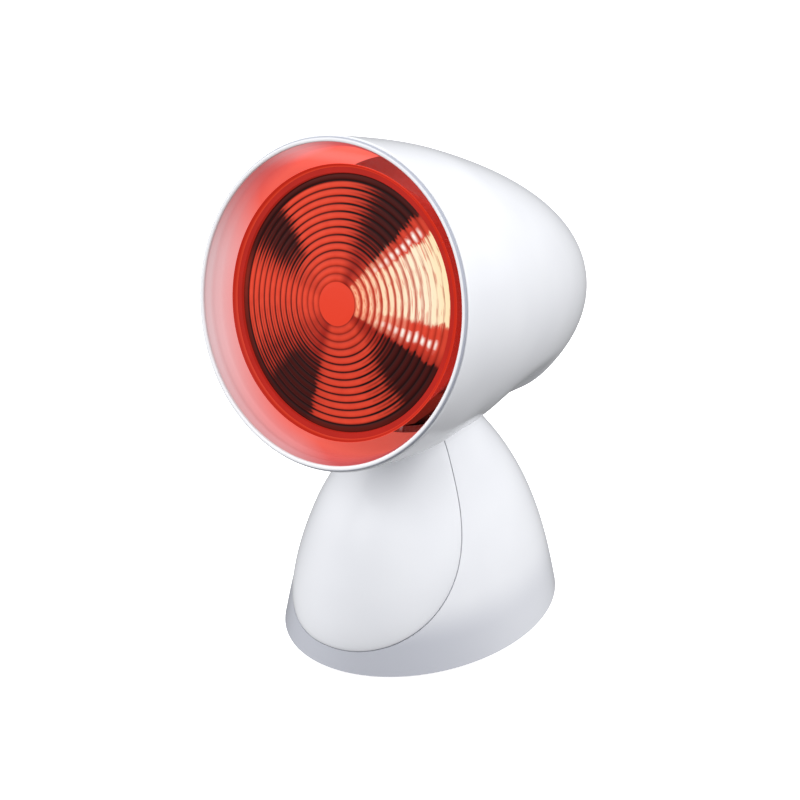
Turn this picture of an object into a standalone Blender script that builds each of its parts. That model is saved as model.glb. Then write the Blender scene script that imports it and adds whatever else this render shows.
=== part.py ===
# Infrared heat therapy lamp: an egg-shaped shade with a red pressed-glass bulb, tilting on a domed stand.
# Metres, +Z up. The lamp looks along -Y. The origin is under the middle of the whole lamp, on the table.
import math

import bmesh
import bpy
from mathutils import Matrix, Vector

# Fits
CLEAR = 0.0003            # gap between pieces that touch or slide
OVERRUN = 0.004           # how far a cutter runs past what it cuts

# Stance
REST_TILT = math.radians(15.9)    # the shade looks up by this much at rest
TILT_BACK = math.radians(6.0)     # one click further back
TILT_DOWN = math.radians(18.0)    # three clicks forward
CLICKS = 5
HINGE_HEIGHT = 0.0590     # above the stand's lower edge
HINGE_AHEAD = 0.0145      # in front of the lampholder, along the shade
DOME_REACH = 0.0222       # how far the stand's dome stands up past the rim's lowest line

# Shade
BULB_AIR = 0.00815        # between the bulb and the inner shade
TAIL_ROOM = 0.0205        # behind the lampholder's bracket
SHADE_WALL = 0.0024
SHADE_LIFT = 0.0017       # the egg's middle rises this much behind the rim
SHADE_EDGE = 0.0006
SHADE_CURVE = 1.40
SHADE_FULLNESS = 2.585
SCOOP_AHEAD = 0.0423      # the drawn-in flanks start this far in front of the hinge,
SCOOP_PEAK = 0.0023       # are deepest this far in front of it
SCOOP_BEHIND = 0.0212     # and end this far behind it
SCOOP_DEPTH = 0.0045
SWELL_DEPTH = 0.0015
SCOOP_ANGLE = math.radians(46.0)
SCOOP_SPREAD = math.radians(27.0)
HINGE_GAP = 0.0020        # between the stand's dome and the edge of the shade's opening

# Inner shade
LINER_WALL = 0.0009
LINER_LIP = 0.0023
LINER_LIP_THICK = 0.0012
LINER_AIR = 0.0011

# Rear vent cap
CAP_R = 0.0265
CAP_LAP = 0.0045          # the cap's edge past the hole it covers
CAP_WALL = 0.0015
CAP_GAP = 0.0004          # between the cap and the egg, along the shade
CAP_CLIP_THICK = 0.0016
CAP_CLIP_WIDE = 0.0050
CAP_CLIP_LONG = 0.0110
CAP_BARB = 0.0010
CAP_PLAY = 0.0012
VENT_WIDE = 0.0026
VENT_PITCH = 0.0058
VENTS = 5
VENT_MARGIN = 0.0050      # between the longest slot and the edge of the hole

# Bulb
BULB_R = 0.0605
BULB_LENGTH = 0.1360
BULB_SET_BACK = 0.0045    # middle of the lens behind the rim
LENS_DOME = 0.0030
LENS_THICK = 0.0032
LENS_EDGE = 0.0018
LENS_RING_FIRST = 0.0098
LENS_BORDER = 0.0038      # smooth border outside the last ring
LENS_RINGS = 14
LENS_RING_DEEP = 0.0005
GLASS_WALL = 0.0025
NECK_R = 0.0200
NECK_LENGTH = 0.0189
NECK_TIP_R = 0.0112
NECK_TIP_LONG = 0.0060
E27_R = 0.0131
E27_WALL = 0.0006
E27_LENGTH = 0.0220
E27_WAVES = 3
THREAD_DEEP = 0.0007
CONTACT_R = 0.0045
CONTACT_LONG = 0.0060
STEM_R = 0.0050
STEM_LENGTH = 0.0280
FILAMENT_R = 0.0007
FILAMENT_SPAN = 0.0110
FILAMENT_REACH = 0.0440

# Lampholder
HOLDER_SIDE = 0.0058      # porcelain around the threaded shell
HOLDER_WALL = 0.0048
HOLDER_BASE = 0.0100
HOLDER_SHELL_WALL = 0.0007
TONGUE_THICK = 0.0008

# Bracket and leg
STRIP_WIDE = 0.0200
STRIP_THICK = 0.0015
STRIP_AIR = 0.00375       # between the lampholder and the strip under it
STRIP_TAIL = 0.0260       # length lying on the saddle
STRIP_UP = 0.0140
SADDLE_THICK = 0.0032
SADDLE_WIDE = 0.0320
SADDLE_AIR = 0.0020       # between the saddle and the dome's running circle
SADDLE_AHEAD = 0.0483     # front end of the saddle, in front of the hinge
RAMP_AHEAD = 0.0238       # where the saddle starts to slope, in front of the hinge
FRONT_BOSS_LONG = 0.0067
LEG_WIDE = 0.0140
LEG_THICK = 0.0090
LEG_LEAN = math.radians(-1.0)     # backwards from upright, at rest
HUB_R = 0.0110
HUB_WIDE = 0.0180
PIN_R = 0.0040
DIMPLE_R = 0.0009
DIMPLE_REACH = 0.0170     # from the hinge
SLOT_SIDE = 0.0032        # beside the leg, for the leads

# Fasteners
SCREW_R = 0.0015
SCREW_HEAD_R = 0.0029
SCREW_HEAD = 0.0017
BOSS_R = 0.0038
SCREW_LONG = 0.0090

# Stand
STAND_HALF_DEPTH = 0.0756
STAND_RATIO = 1.28        # depth to width
STAND_FLARE = 0.21
STAND_WALL = 0.0026
STAND_GAP = 0.0010        # lower edge above the table
DOME_R = 0.0470
DOME_JOIN = math.radians(40.0)
SEAM_LOW = 0.0098
SEAM_RISE = 0.0720
SEAM_ANGLE = math.radians(67.5)
SEAM_SHAPE = 2.35
PANEL_PILLOW = 0.0016
PANEL_DROP = 0.0002
PANEL_WALL = 0.0022
PANEL_TAB = 0.0060

# Base plate, weight and feet
PLATE_LEVEL = 0.0035
PLATE_THICK = 0.0020
WEIGHT_THICK = 0.0110
WEIGHT_END_ROOM = 0.0316  # between the weight and the stand's lower edge, front and back
WEIGHT_SIDE_ROOM = 0.0270
FOOT_R = 0.0075
FOOT_STUD_R = 0.0024
SCREW_BOSS_LONG = 0.0190

# Yoke and hinge pin
YOKE_THICK = 0.0020
YOKE_DEEP = 0.0220
YOKE_ABOVE = 0.0215
WASHER_THICK = 0.0010
WASHER_R = 0.0080
PIN_HEAD_R = 0.0070
PIN_HEAD = 0.0035
NUT_THICK = 0.0040
PLUNGER_R = 0.0030
PLUNGER_LONG = 0.0080
PLUNGER_NOSE_R = 0.0013
BOLT_R = 0.0020
BOLT_SPACING = 0.0120

# Switch
SWITCH_HEIGHT = 0.0360
SWITCH_WIDE = 0.0130
SWITCH_TALL = 0.0210
SWITCH_DEEP = 0.0150
SWITCH_WALL = 0.0012
BEZEL_RIM = 0.0020
BEZEL_THICK = 0.0018
BEZEL_SINK = 0.0010
ROCKER_THROW = math.radians(20.0)
ROCKER_PIVOT = 0.0032     # below the bezel's seat
ROCKER_TOP = 0.0058
ROCKER_DIP = 0.0016
ROCKER_DEEP = 0.0040
ROCKER_PIN_R = 0.0012
BLADE_WIDE = 0.0048
BLADE_THICK = 0.0008
BLADE_LONG = 0.0080

# Cord inlet and terminal block
GLAND_HEIGHT = 0.0130
GLAND_R = 0.0076
GLAND_NECK_R = 0.0058
GLAND_BORE_R = 0.0043
GLAND_FLANGE = 0.0015
BLOCK_WIDE = 0.0170
BLOCK_DEEP = 0.0120
BLOCK_TALL = 0.0110
BLOCK_HOLE_R = 0.0021

# Facets
AROUND = 36
AROUND_BULB = 24
AROUND_SMALL = 12
AROUND_FOOT = 10
AROUND_SCREW = 8

# Worked out from the sizes above
HINGE_Z = STAND_GAP + HINGE_HEIGHT
RIM_R = BULB_R + BULB_AIR + LINER_WALL + LINER_AIR / 2 + CLEAR + SHADE_WALL
HINGE_DROP = RIM_R + DOME_R - DOME_REACH
BOWL_START = BULB_SET_BACK + LENS_DOME + LENS_EDGE + CLEAR
BULB_END = BULB_SET_BACK + BULB_LENGTH
CAP_START = BULB_END - CONTACT_LONG - E27_LENGTH
BOWL_DEPTH = CAP_START - NECK_LENGTH - BOWL_START
LENS_RING_PITCH = (BULB_R - LENS_BORDER - LENS_RING_FIRST) / LENS_RINGS
HOLDER_START = CAP_START + CLEAR
HOLDER_END = BULB_END + TONGUE_THICK + 2 * CLEAR + HOLDER_BASE
HOLDER_IN_R = E27_R + HOLDER_SHELL_WALL + 3 * CLEAR
HOLDER_R = HOLDER_IN_R + HOLDER_SIDE
HINGE_BACK = HOLDER_START - HINGE_AHEAD
STRIP_BACK = HOLDER_END + CLEAR
STRIP_LEVEL = HOLDER_R + STRIP_AIR + STRIP_THICK / 2
SHADE_LENGTH = STRIP_BACK + STRIP_THICK + TAIL_ROOM
SCOOP_START = HINGE_BACK - SCOOP_AHEAD
SCOOP_DEEPEST = HINGE_BACK - SCOOP_PEAK
SCOOP_END = HINGE_BACK + SCOOP_BEHIND
SADDLE_FRONT = HINGE_BACK - SADDLE_AHEAD
SADDLE_RAMP_TOP = HINGE_BACK - RAMP_AHEAD
LINER_DEPTH = SADDLE_FRONT - 2 * CLEAR
REAR_HOLE_R = CAP_R - CAP_LAP
VENT_REACH = REAR_HOLE_R - VENT_MARGIN
CAP_RISE = CAP_GAP + CAP_WALL
SHADE_END = SHADE_LENGTH + CAP_RISE
STAND_HALF_WIDTH = STAND_HALF_DEPTH / STAND_RATIO
WEIGHT_HALF_DEPTH = STAND_HALF_DEPTH - WEIGHT_END_ROOM
WEIGHT_HALF_WIDTH = STAND_HALF_WIDTH - WEIGHT_SIDE_ROOM
PLATE_TOP = PLATE_LEVEL + PLATE_THICK
WEIGHT_LOW = PLATE_TOP + CLEAR
WEIGHT_TOP = WEIGHT_LOW + WEIGHT_THICK
YOKE_LOW = WEIGHT_TOP + CLEAR
CHEEK_IN = HUB_WIDE / 2 + WASHER_THICK + 2 * CLEAR
CHEEK_OUT = CHEEK_IN + YOKE_THICK


def clear_scene():
    for thing in list(bpy.data.objects):
        bpy.data.objects.remove(thing, do_unlink=True)


def finish(name, colour, roughness, metallic=0.0, transmission=0.0):
    material = bpy.data.materials.new(name)
    material.use_nodes = True
    shader = material.node_tree.nodes["Principled BSDF"]
    shader.inputs["Base Color"].default_value = (*colour, 1.0)
    shader.inputs["Roughness"].default_value = roughness
    shader.inputs["Metallic"].default_value = metallic
    shader.inputs["Transmission Weight"].default_value = transmission
    material.diffuse_color = (*colour, 1.0)
    return material


def white_abs(name):
    return finish(name, (0.86, 0.87, 0.89), 0.28)


def steel(name):
    return finish(name, (0.55, 0.56, 0.57), 0.35, 1.0)


def brass(name):
    return finish(name, (0.72, 0.55, 0.25), 0.3, 1.0)


def black_moulding(name):
    return finish(name, (0.03, 0.03, 0.035), 0.5)


def empty(name, location, rotation=(0.0, 0.0, 0.0), parent=None):
    axis = bpy.data.objects.new(name, None)
    axis.location = location
    axis.rotation_euler = rotation
    axis.parent = parent
    bpy.context.scene.collection.objects.link(axis)
    return axis


def piece(name, mesh, material, parent):
    thing = bpy.data.objects.new(name, mesh)
    if material:
        mesh.materials.append(material)
    thing.parent = parent
    bpy.context.scene.collection.objects.link(thing)
    return thing


def finish_mesh(name, bm, sharp=math.radians(32.0)):
    """Faces turned outwards and shaded smooth, except over hard edges."""
    bmesh.ops.remove_doubles(bm, verts=bm.verts, dist=CLEAR / 100)
    bmesh.ops.recalc_face_normals(bm, faces=bm.faces)
    mesh = bpy.data.meshes.new(name)
    bm.to_mesh(mesh)
    bm.free()
    mesh.shade_smooth()
    mesh.set_sharp_from_angle(angle=sharp)
    return mesh


def skin(name, rings, wrap=False):
    """A closed solid through rings of points. A ring of one point is a pole, and an open end is filled."""
    bm = bmesh.new()
    rows = [[bm.verts.new(point) for point in ring] for ring in rings]
    pairs = list(zip(rows, rows[1:]))
    if wrap:
        pairs.append((rows[-1], rows[0]))
    for low, high in pairs:
        count = max(len(low), len(high))
        for i in range(count):
            j = (i + 1) % count
            corners = [low[i % len(low)], low[j % len(low)], high[j % len(high)], high[i % len(high)]]
            corners = list(dict.fromkeys(corners))
            if len(corners) > 2:
                bm.faces.new(corners)
    if not wrap:
        for row in (rows[0], rows[-1]):
            if len(row) > 2:
                bm.faces.new(row)
    return finish_mesh(name, bm)


def turned(name, profile, around=AROUND_SMALL, wrap=True):
    """A profile of (radius, height) points turned about Z. A point with no radius is a pole."""
    rings = []
    for radius, height in profile:
        if radius <= 0:
            rings.append([(0.0, 0.0, height)])
        else:
            turns = [2 * math.pi * i / around for i in range(around)]
            rings.append([(radius * math.cos(a), radius * math.sin(a), height) for a in turns])
    return skin(name, rings, wrap)


def rod(name, radius, start, end, around=AROUND_SMALL):
    return turned(name, [(radius, start), (radius, end)], around, wrap=False)


def prism(name, outline, start, end):
    """An outline of (second, third) axis points, drawn out along the first axis."""
    rings = [[(x, a, b) for a, b in outline] for x in (start, end)]
    return skin(name, rings)


def slab(name, x_span, y_span, z_span):
    outline = [(y_span[0], z_span[0]), (y_span[1], z_span[0]), (y_span[1], z_span[1]), (y_span[0], z_span[1])]
    return prism(name, outline, *x_span)


def placed(mesh, matrix):
    mesh.transform(matrix)
    if matrix.determinant() < 0:
        mesh.flip_normals()
    return mesh


def at(location, direction=(0.0, 0.0, 1.0)):
    """A matrix that carries the origin to the location and +Z to the direction."""
    turn = Vector((0.0, 0.0, 1.0)).rotation_difference(Vector(direction))
    return Matrix.Translation(location) @ turn.to_matrix().to_4x4()


def combine(target, mesh, operation):
    """A Boolean with a hidden helper that rides with its target."""
    helper = piece("helper_" + target.name, mesh, None, target.parent)
    helper.hide_render = True
    helper.display_type = "WIRE"
    step = target.modifiers.new(operation.title(), "BOOLEAN")
    step.object = helper
    step.operation = operation
    step.solver = "EXACT"


def cut(target, mesh):
    combine(target, mesh, "DIFFERENCE")


def join(target, mesh):
    combine(target, mesh, "UNION")


def ease(share):
    share = min(1.0, max(0.0, share))
    return share * share * (3 - 2 * share)


# The egg of the shade
def shade_radius(back):
    share = min(1.0, max(0.0, back / SHADE_LENGTH))
    return RIM_R * (1 - share ** SHADE_CURVE) ** (1 / SHADE_FULLNESS)


def shade_back(radius):
    """Where along the shade its outside has this radius."""
    return SHADE_LENGTH * (1 - (radius / RIM_R) ** SHADE_FULLNESS) ** (1 / SHADE_CURVE)


def shade_point(back, inset):
    """Radius and place of the profile, moved inwards at right angles to the wall."""
    step = SHADE_LENGTH / 2000
    slope = (shade_radius(back + step) - shade_radius(max(0.0, back - step))) / (step + min(back, step))
    length = math.hypot(1.0, slope)
    return shade_radius(back) - inset / length, back + inset * slope / length


def underside(back, angle):
    """How far the flanks are drawn in beside the hinge, and swelled in front of it."""
    off = min(1.0, abs(abs(angle) - SCOOP_ANGLE) / SCOOP_SPREAD)
    across = math.cos(off * math.pi / 2) ** 2
    if back < SCOOP_DEEPEST:
        along = ease((back - SCOOP_START) / (SCOOP_DEEPEST - SCOOP_START))
    else:
        along = max(0.0, 1 - ((back - SCOOP_DEEPEST) / (SCOOP_END - SCOOP_DEEPEST)) ** 2)
    swell = math.sin(math.pi * min(1.0, back / SCOOP_START)) ** 2 if back < SCOOP_START else 0.0
    return across * (SCOOP_DEPTH * along - SWELL_DEPTH * swell)


def lift(back):
    return SHADE_LIFT * ease(back / SCOOP_START)


def shade_ring(back, inset):
    radius, place = shade_point(back, inset)
    ring = []
    for i in range(AROUND):
        angle = 2 * math.pi * i / AROUND
        fold = math.pi - abs(angle - math.pi)
        r = radius - underside(back, fold)
        ring.append((r * math.sin(angle), r * math.cos(angle) - lift(back), place))
    return ring


def add_head_shell(parent):
    hole = shade_back(REAR_HOLE_R)
    row_shares = [0.06, 0.14, 0.22, 0.30, 0.37, 0.44, 0.50, 0.56, 0.62, 0.75, 0.81, 0.865, 0.91, 0.945]
    rows = sorted([share * SHADE_LENGTH for share in row_shares] + [SCOOP_END])
    rows = [SHADE_EDGE] + rows + [hole]
    rings = [shade_ring(0.0, SHADE_EDGE)]
    rings += [shade_ring(back, 0.0) for back in rows]
    inner_rows = rows[:2] + rows[2::2]
    rings += [shade_ring(back, SHADE_WALL) for back in reversed(inner_rows)]
    rings += [shade_ring(0.0, SHADE_WALL)]
    shell = piece("head_shell", skin("head_shell", rings, wrap=True), white_abs("shell white"), parent)
    for x, y, z in shell_bosses():
        top, end, deep = boss_span(x, z)
        boss = rod("boss", BOSS_R, top, end, AROUND_SCREW)
        join(shell, placed(boss, at((x, 0.0, z), (0.0, 1.0, 0.0))))
        bore = rod("bore", SCREW_R + CLEAR, top - OVERRUN, top + deep + CLEAR, AROUND_SCREW)
        cut(shell, placed(bore, at((x, 0.0, z), (0.0, 1.0, 0.0))))
    cut(shell, dome_mesh("opening", DOME_R + HINGE_GAP))
    return shell


def shell_bosses():
    """Centres of the four bosses that hold the shade: two before the hinge and two behind it."""
    front = SADDLE_FRONT + BOSS_R
    rear = STRIP_BACK - BOSS_R - SCREW_LONG
    across = SADDLE_WIDE / 2 - BOSS_R
    narrow = STRIP_WIDE / 2 - BOSS_R
    return [(across, 0.0, front), (-across, 0.0, front), (narrow, 0.0, rear), (-narrow, 0.0, rear)]


def boss_span(x, z):
    """Levels where a boss starts and ends in the shade's wall, and how deep its screw goes."""
    if z < HINGE_BACK:
        top = saddle_under(z) + CLEAR
    else:
        top = STRIP_LEVEL + STRIP_THICK / 2 + CLEAR
    end = math.sqrt(shade_point(z, SHADE_WALL / 2)[0] ** 2 - x ** 2) - lift(z) - BOSS_R / 8
    return top, end, min(SCREW_LONG, end - top - 2 * CLEAR)


def dome_mesh(name, radius):
    """The round body that the hinge sweeps, about the hinge line, in the shade's frame."""
    bm = bmesh.new()
    bmesh.ops.create_uvsphere(bm, u_segments=AROUND, v_segments=AROUND // 2, radius=radius)
    mesh = finish_mesh(name, bm)
    stretch = Matrix.Diagonal((1.0, 1.0, 1 / STAND_RATIO, 1.0))
    stretch = Matrix.Rotation(math.pi / 2, 4, "Y") @ stretch
    return placed(mesh, Matrix.Translation((0.0, HINGE_DROP, HINGE_BACK)) @ stretch)


def add_inner_shade(parent):
    """The heat shield: a lip over the shade's edge, and a wall that keeps the bulb's heat off the shell."""
    fit = RIM_R - SHADE_WALL - CLEAR
    seat_share = 0.14
    wall_shares = [0.5, 1.0]
    lip_out = RIM_R - SHADE_EDGE
    outer = [(lip_out, -CLEAR - LINER_LIP_THICK / 2), (lip_out, -CLEAR)]
    outer += [(fit, -CLEAR), (fit - LINER_AIR / 2, LINER_DEPTH * seat_share)]
    for share in wall_shares:
        back = LINER_DEPTH * share
        outer.append((shade_radius(back) - SHADE_WALL - LINER_AIR * (1 + share), back))
    inner = [(radius - LINER_WALL, back) for radius, back in reversed(outer[3:])]
    lip_in = lip_out - LINER_LIP
    inner += [(lip_in, LINER_LIP_THICK / 2), (lip_in, -CLEAR - LINER_LIP_THICK / 2)]
    inner += [((lip_in + lip_out) / 2, -CLEAR - LINER_LIP_THICK)]
    rings = []
    for radius, back in outer + inner:
        turns = [2 * math.pi * i / AROUND for i in range(AROUND)]
        rings.append([(radius * math.sin(a), radius * math.cos(a) - lift(back), back) for a in turns])
    mesh = skin("inner_shade", rings, wrap=True)
    return piece("inner_shade", mesh, finish("shield white", (0.84, 0.82, 0.82), 0.35), parent)


def add_rear_vent_cap(parent):
    """A crowned cap that stands off the shade's rear hole, with slots across it and three spring clips."""
    seat = empty("cap_seat", (0.0, -SHADE_LIFT, 0.0), parent=parent)

    def crown(radius):
        return shade_back(radius) + CAP_RISE

    shares = [1.0, 0.75, 0.45]
    outer = [(CAP_R * share, crown(CAP_R * share)) for share in shares] + [(0.0, crown(0.0))]
    inner = [(radius, back - CAP_WALL) for radius, back in outer[::-1]]
    mesh = turned("rear_vent_cap", inner + outer, AROUND_BULB, wrap=False)
    cap = piece("rear_vent_cap", mesh, white_abs("cap white"), seat)
    half = CAP_CLIP_WIDE / 2
    hole, edge = shade_point(shade_back(REAR_HOLE_R), SHADE_WALL)
    outside = math.sqrt((hole * math.cos(math.pi / AROUND) - CLEAR) ** 2 - half ** 2)
    inside = outside - CAP_CLIP_THICK
    root = crown(outside) - CAP_WALL / 2
    tip = root - CAP_CLIP_LONG
    hook = edge - CAP_PLAY
    for i in range(3):
        outline = [(inside, root), (outside, root), (outside, hook), (outside + CAP_BARB, hook), (outside, tip),
                   (inside, tip)]
        clip = prism("clip", outline, -half, half)
        join(cap, placed(clip, Matrix.Rotation(math.radians(60 + 120 * i), 4, "Z")))
    for i in range(VENTS):
        level = (i - (VENTS - 1) / 2) * VENT_PITCH
        reach = math.sqrt(max(VENT_REACH ** 2 - level ** 2, VENT_WIDE ** 2))
        slot = slab("slot", (-reach, reach), (level - VENT_WIDE / 2, level + VENT_WIDE / 2),
                    (tip, SHADE_END + OVERRUN))
        cut(cap, slot)
    return cap


# Bulb
def lens_face(radius):
    return BULB_SET_BACK + LENS_DOME * (radius / BULB_R) ** 2


def add_bulb_lens(parent):
    """The pressed lens: a plain disc in the middle, then concentric prism rings out to a smooth border."""
    front = [(0.0, lens_face(0.0)), (LENS_RING_FIRST * 0.8, lens_face(LENS_RING_FIRST))]
    for i in range(LENS_RINGS):
        groove = LENS_RING_FIRST + i * LENS_RING_PITCH
        crest = groove + LENS_RING_PITCH * 0.45
        front.append((groove, lens_face(groove) + LENS_RING_DEEP))
        front.append((crest, lens_face(crest)))
    border = LENS_RING_FIRST + LENS_RINGS * LENS_RING_PITCH
    front.append((border, lens_face(border) + LENS_RING_DEEP))
    rim = lens_face(BULB_R)
    front += [(BULB_R - LENS_EDGE, rim - LENS_EDGE / 2), (BULB_R, rim + LENS_EDGE / 2)]
    front += [(BULB_R, rim + LENS_EDGE), (BULB_R - GLASS_WALL * 2, rim + LENS_EDGE)]
    front += [(BULB_R * 0.7, lens_face(BULB_R * 0.7) + LENS_THICK), (0.0, lens_face(0.0) + LENS_THICK)]
    mesh = turned("bulb_lens", front, AROUND_BULB, wrap=False)
    return piece("bulb_lens", mesh, finish("red lens glass", (0.75, 0.05, 0.02), 0.08, 0.0, 0.6), parent)


def bowl_radius(share):
    """The pressed reflector, from its rim to its neck: a deep paraboloid."""
    return NECK_R + (BULB_R - GLASS_WALL / 2 - NECK_R) * (1 - share) ** 0.62


def add_bulb_reflector(parent):
    start = BOWL_START
    neck = start + BOWL_DEPTH
    tip = CAP_START + CLEAR
    shares = [0.0, 0.25, 0.55, 0.82, 1.0]
    outer = [(bowl_radius(share), start + BOWL_DEPTH * share) for share in shares]
    outer += [(NECK_R * 0.93, neck + NECK_LENGTH * 0.6), (NECK_TIP_R, tip), (NECK_TIP_R, tip + NECK_TIP_LONG)]
    tip_in = NECK_TIP_R - GLASS_WALL / 2
    inner = [(tip_in, tip + NECK_TIP_LONG), (tip_in, tip - GLASS_WALL)]
    inner += [(NECK_R * 0.93 - GLASS_WALL, neck + NECK_LENGTH * 0.5)]
    inner += [(bowl_radius(share) - GLASS_WALL, start + BOWL_DEPTH * share) for share in reversed(shares)]
    mesh = turned("bulb_reflector", outer + inner, AROUND_BULB)
    return piece("bulb_reflector", mesh, finish("red bowl glass", (0.45, 0.04, 0.03), 0.15), parent)


def thread_waves(radius, start, length, deep):
    """A rolled round thread as a wavy profile."""
    profile = []
    for i in range(E27_WAVES):
        profile.append((radius, start + length * (i + 0.25) / E27_WAVES))
        profile.append((radius - deep, start + length * (i + 0.75) / E27_WAVES))
    return profile


def add_bulb_cap(parent):
    end = CAP_START + E27_LENGTH
    outer = [(NECK_TIP_R + CLEAR + E27_WALL, CAP_START + 2 * CLEAR)]
    outer += thread_waves(E27_R, CAP_START + E27_LENGTH * 0.15, E27_LENGTH * 0.8, THREAD_DEEP)
    outer += [(CONTACT_R * 1.6, end)]
    inside = E27_R - THREAD_DEEP - E27_WALL
    inner = [(CONTACT_R * 1.6 - E27_WALL, end - E27_WALL), (inside, end - E27_LENGTH * 0.15)]
    inner += [(inside, CAP_START + 2 * CLEAR)]
    mesh = turned("bulb_cap", outer + inner, AROUND_SMALL)
    return piece("bulb_cap", mesh, brass("cap brass"), parent)


def add_bulb_contact(parent):
    """The black glass insulator with its centre contact."""
    end = BULB_END
    start = end - CONTACT_LONG + CLEAR
    profile = [(0.0, start), (CONTACT_R * 1.5, start), (CONTACT_R, end - CONTACT_LONG * 0.3)]
    profile += [(CONTACT_R * 0.9, end), (0.0, end)]
    mesh = turned("bulb_contact", profile, AROUND_SMALL, wrap=False)
    return piece("bulb_contact", mesh, finish("contact glass and tin", (0.08, 0.08, 0.09), 0.3), parent)


def add_bulb_stem(parent):
    """The glass stem: a flare seated in the neck, and a pinch that carries the filament's wires."""
    flare = NECK_TIP_R - GLASS_WALL / 2 - CLEAR
    seat = CAP_START + NECK_TIP_LONG
    press = seat - STEM_LENGTH
    profile = [(0.0, press), (STEM_R * 0.8, press), (STEM_R, press + STEM_LENGTH * 0.4)]
    profile += [(STEM_R, seat - STEM_R), (flare, seat - CLEAR), (flare, seat), (0.0, seat)]
    mesh = turned("bulb_stem", profile, AROUND_SMALL, wrap=False)
    return piece("bulb_stem", mesh, finish("clear glass", (0.8, 0.8, 0.8), 0.05, 0.0, 0.9), parent)


def tube(name, points, radius, material, parent, sides=2):
    """A round wire through the points, as one smooth curve sampled at equal shares."""
    knots = [Vector(p) for p in points]
    knots = [2 * knots[0] - knots[1]] + knots + [2 * knots[-1] - knots[-2]]
    steps = 2
    path = []
    for a, b, c, d in zip(knots, knots[1:], knots[2:], knots[3:]):
        for i in range(steps):
            t = i / steps
            path.append(0.5 * (2 * b + (c - a) * t + (2 * a - 5 * b + 4 * c - d) * t ** 2
                               + (3 * b - a - 3 * c + d) * t ** 3))
    path.append(knots[-2])
    curve = bpy.data.curves.new(name, "CURVE")
    curve.dimensions = "3D"
    curve.bevel_depth = radius
    curve.bevel_resolution = sides
    curve.use_fill_caps = True
    line = curve.splines.new("POLY")
    line.points.add(len(path) - 1)
    for point, place in zip(line.points, path):
        point.co = (*place, 1.0)
    thing = bpy.data.objects.new(name, curve)
    curve.materials.append(material)
    thing.parent = parent
    bpy.context.scene.collection.objects.link(thing)
    return thing


def add_bulb_filament(parent):
    seat = CAP_START + NECK_TIP_LONG
    foot = seat - STEM_LENGTH - CLEAR - FILAMENT_R
    tip = foot - FILAMENT_REACH
    half = FILAMENT_SPAN / 2
    legs = [(half * 0.4, 0.0, foot), (half * 0.7, 0.0, foot - FILAMENT_REACH * 0.3), (half, 0.0, tip)]
    arc = [(half * math.cos(a), half * math.sin(a), tip) for a in (math.radians(45 * i) for i in range(1, 4))]
    path = legs + arc + [(-x, y, z) for x, y, z in reversed(legs)]
    tungsten = finish("tungsten", (0.3, 0.3, 0.3), 0.4, 1.0)
    return tube("bulb_filament", path, FILAMENT_R, tungsten, parent, sides=1)


# Lampholder
def add_lampholder(parent):
    back = HOLDER_END - HOLDER_BASE
    profile = [(0.0, back), (HOLDER_IN_R, back), (HOLDER_IN_R, HOLDER_START), (HOLDER_R * 0.92, HOLDER_START)]
    profile += [(HOLDER_R, HOLDER_START + HOLDER_WALL / 2), (HOLDER_R, HOLDER_END - HOLDER_BASE * 1.4)]
    profile += [(HOLDER_R * 0.86, back), (HOLDER_R * 0.86, HOLDER_END), (0.0, HOLDER_END)]
    mesh = turned("lampholder_body", profile, AROUND_BULB, wrap=False)
    body = piece("lampholder_body", mesh, finish("glazed porcelain", (0.82, 0.8, 0.74), 0.2), parent)
    for y in (-1, 1):
        bore = rod("bore", SCREW_R + CLEAR, HOLDER_END - SCREW_LONG * 0.8, HOLDER_END + OVERRUN, AROUND_SCREW)
        cut(body, placed(bore, Matrix.Translation((0.0, y * HOLDER_R * 0.5, 0.0))))
    start = HOLDER_START + HOLDER_WALL / 2
    end = back - CLEAR
    outer = [(E27_R + CLEAR + HOLDER_SHELL_WALL, start)]
    outer += [(E27_R + CLEAR + HOLDER_SHELL_WALL, end), (E27_R * 0.7, end)]
    inner = [(E27_R * 0.7, end - HOLDER_SHELL_WALL), (E27_R + CLEAR, end - HOLDER_SHELL_WALL * 2)]
    inner += [(E27_R + CLEAR, start)]
    mesh = turned("lampholder_thread", outer + inner, AROUND_SMALL)
    piece("lampholder_thread", mesh, brass("thread brass"), parent)
    low = BULB_END + CLEAR
    tongue = slab("lampholder_contact", (-CONTACT_R / 2, CONTACT_R / 2), (-CONTACT_R, CONTACT_R),
                  (low, low + TONGUE_THICK))
    piece("lampholder_contact", tongue, brass("contact brass"), parent)
    return body


# Bracket strip, saddle and leg, in the shade's frame: Y is down and Z is back
def saddle_under(back):
    """Level of the saddle's underside: flat over the dome, and falling towards its front end."""
    flat = saddle_flat()
    share = (SADDLE_RAMP_TOP - back) / (SADDLE_RAMP_TOP - SADDLE_FRONT - 2 * BOSS_R)
    return flat + (saddle_front_level() - flat) * min(1.0, max(0.0, share))


def saddle_flat():
    return HINGE_DROP - DOME_R - SADDLE_AIR


def saddle_front_level():
    """The front pad lies one boss length above the shade's wall."""
    middle = SADDLE_FRONT + BOSS_R
    across = SADDLE_WIDE / 2 - BOSS_R
    radius = shade_point(middle, SHADE_WALL)[0]
    return math.sqrt(radius ** 2 - across ** 2) - lift(middle) - FRONT_BOSS_LONG


def saddle_end():
    return HINGE_BACK + HUB_R / 2


def hinge_up(lean=0.0):
    """Direction from the hinge to straight up at rest, in the shade's frame, as (down, back)."""
    angle = REST_TILT - lean
    return -math.cos(angle), -math.sin(angle)


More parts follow.
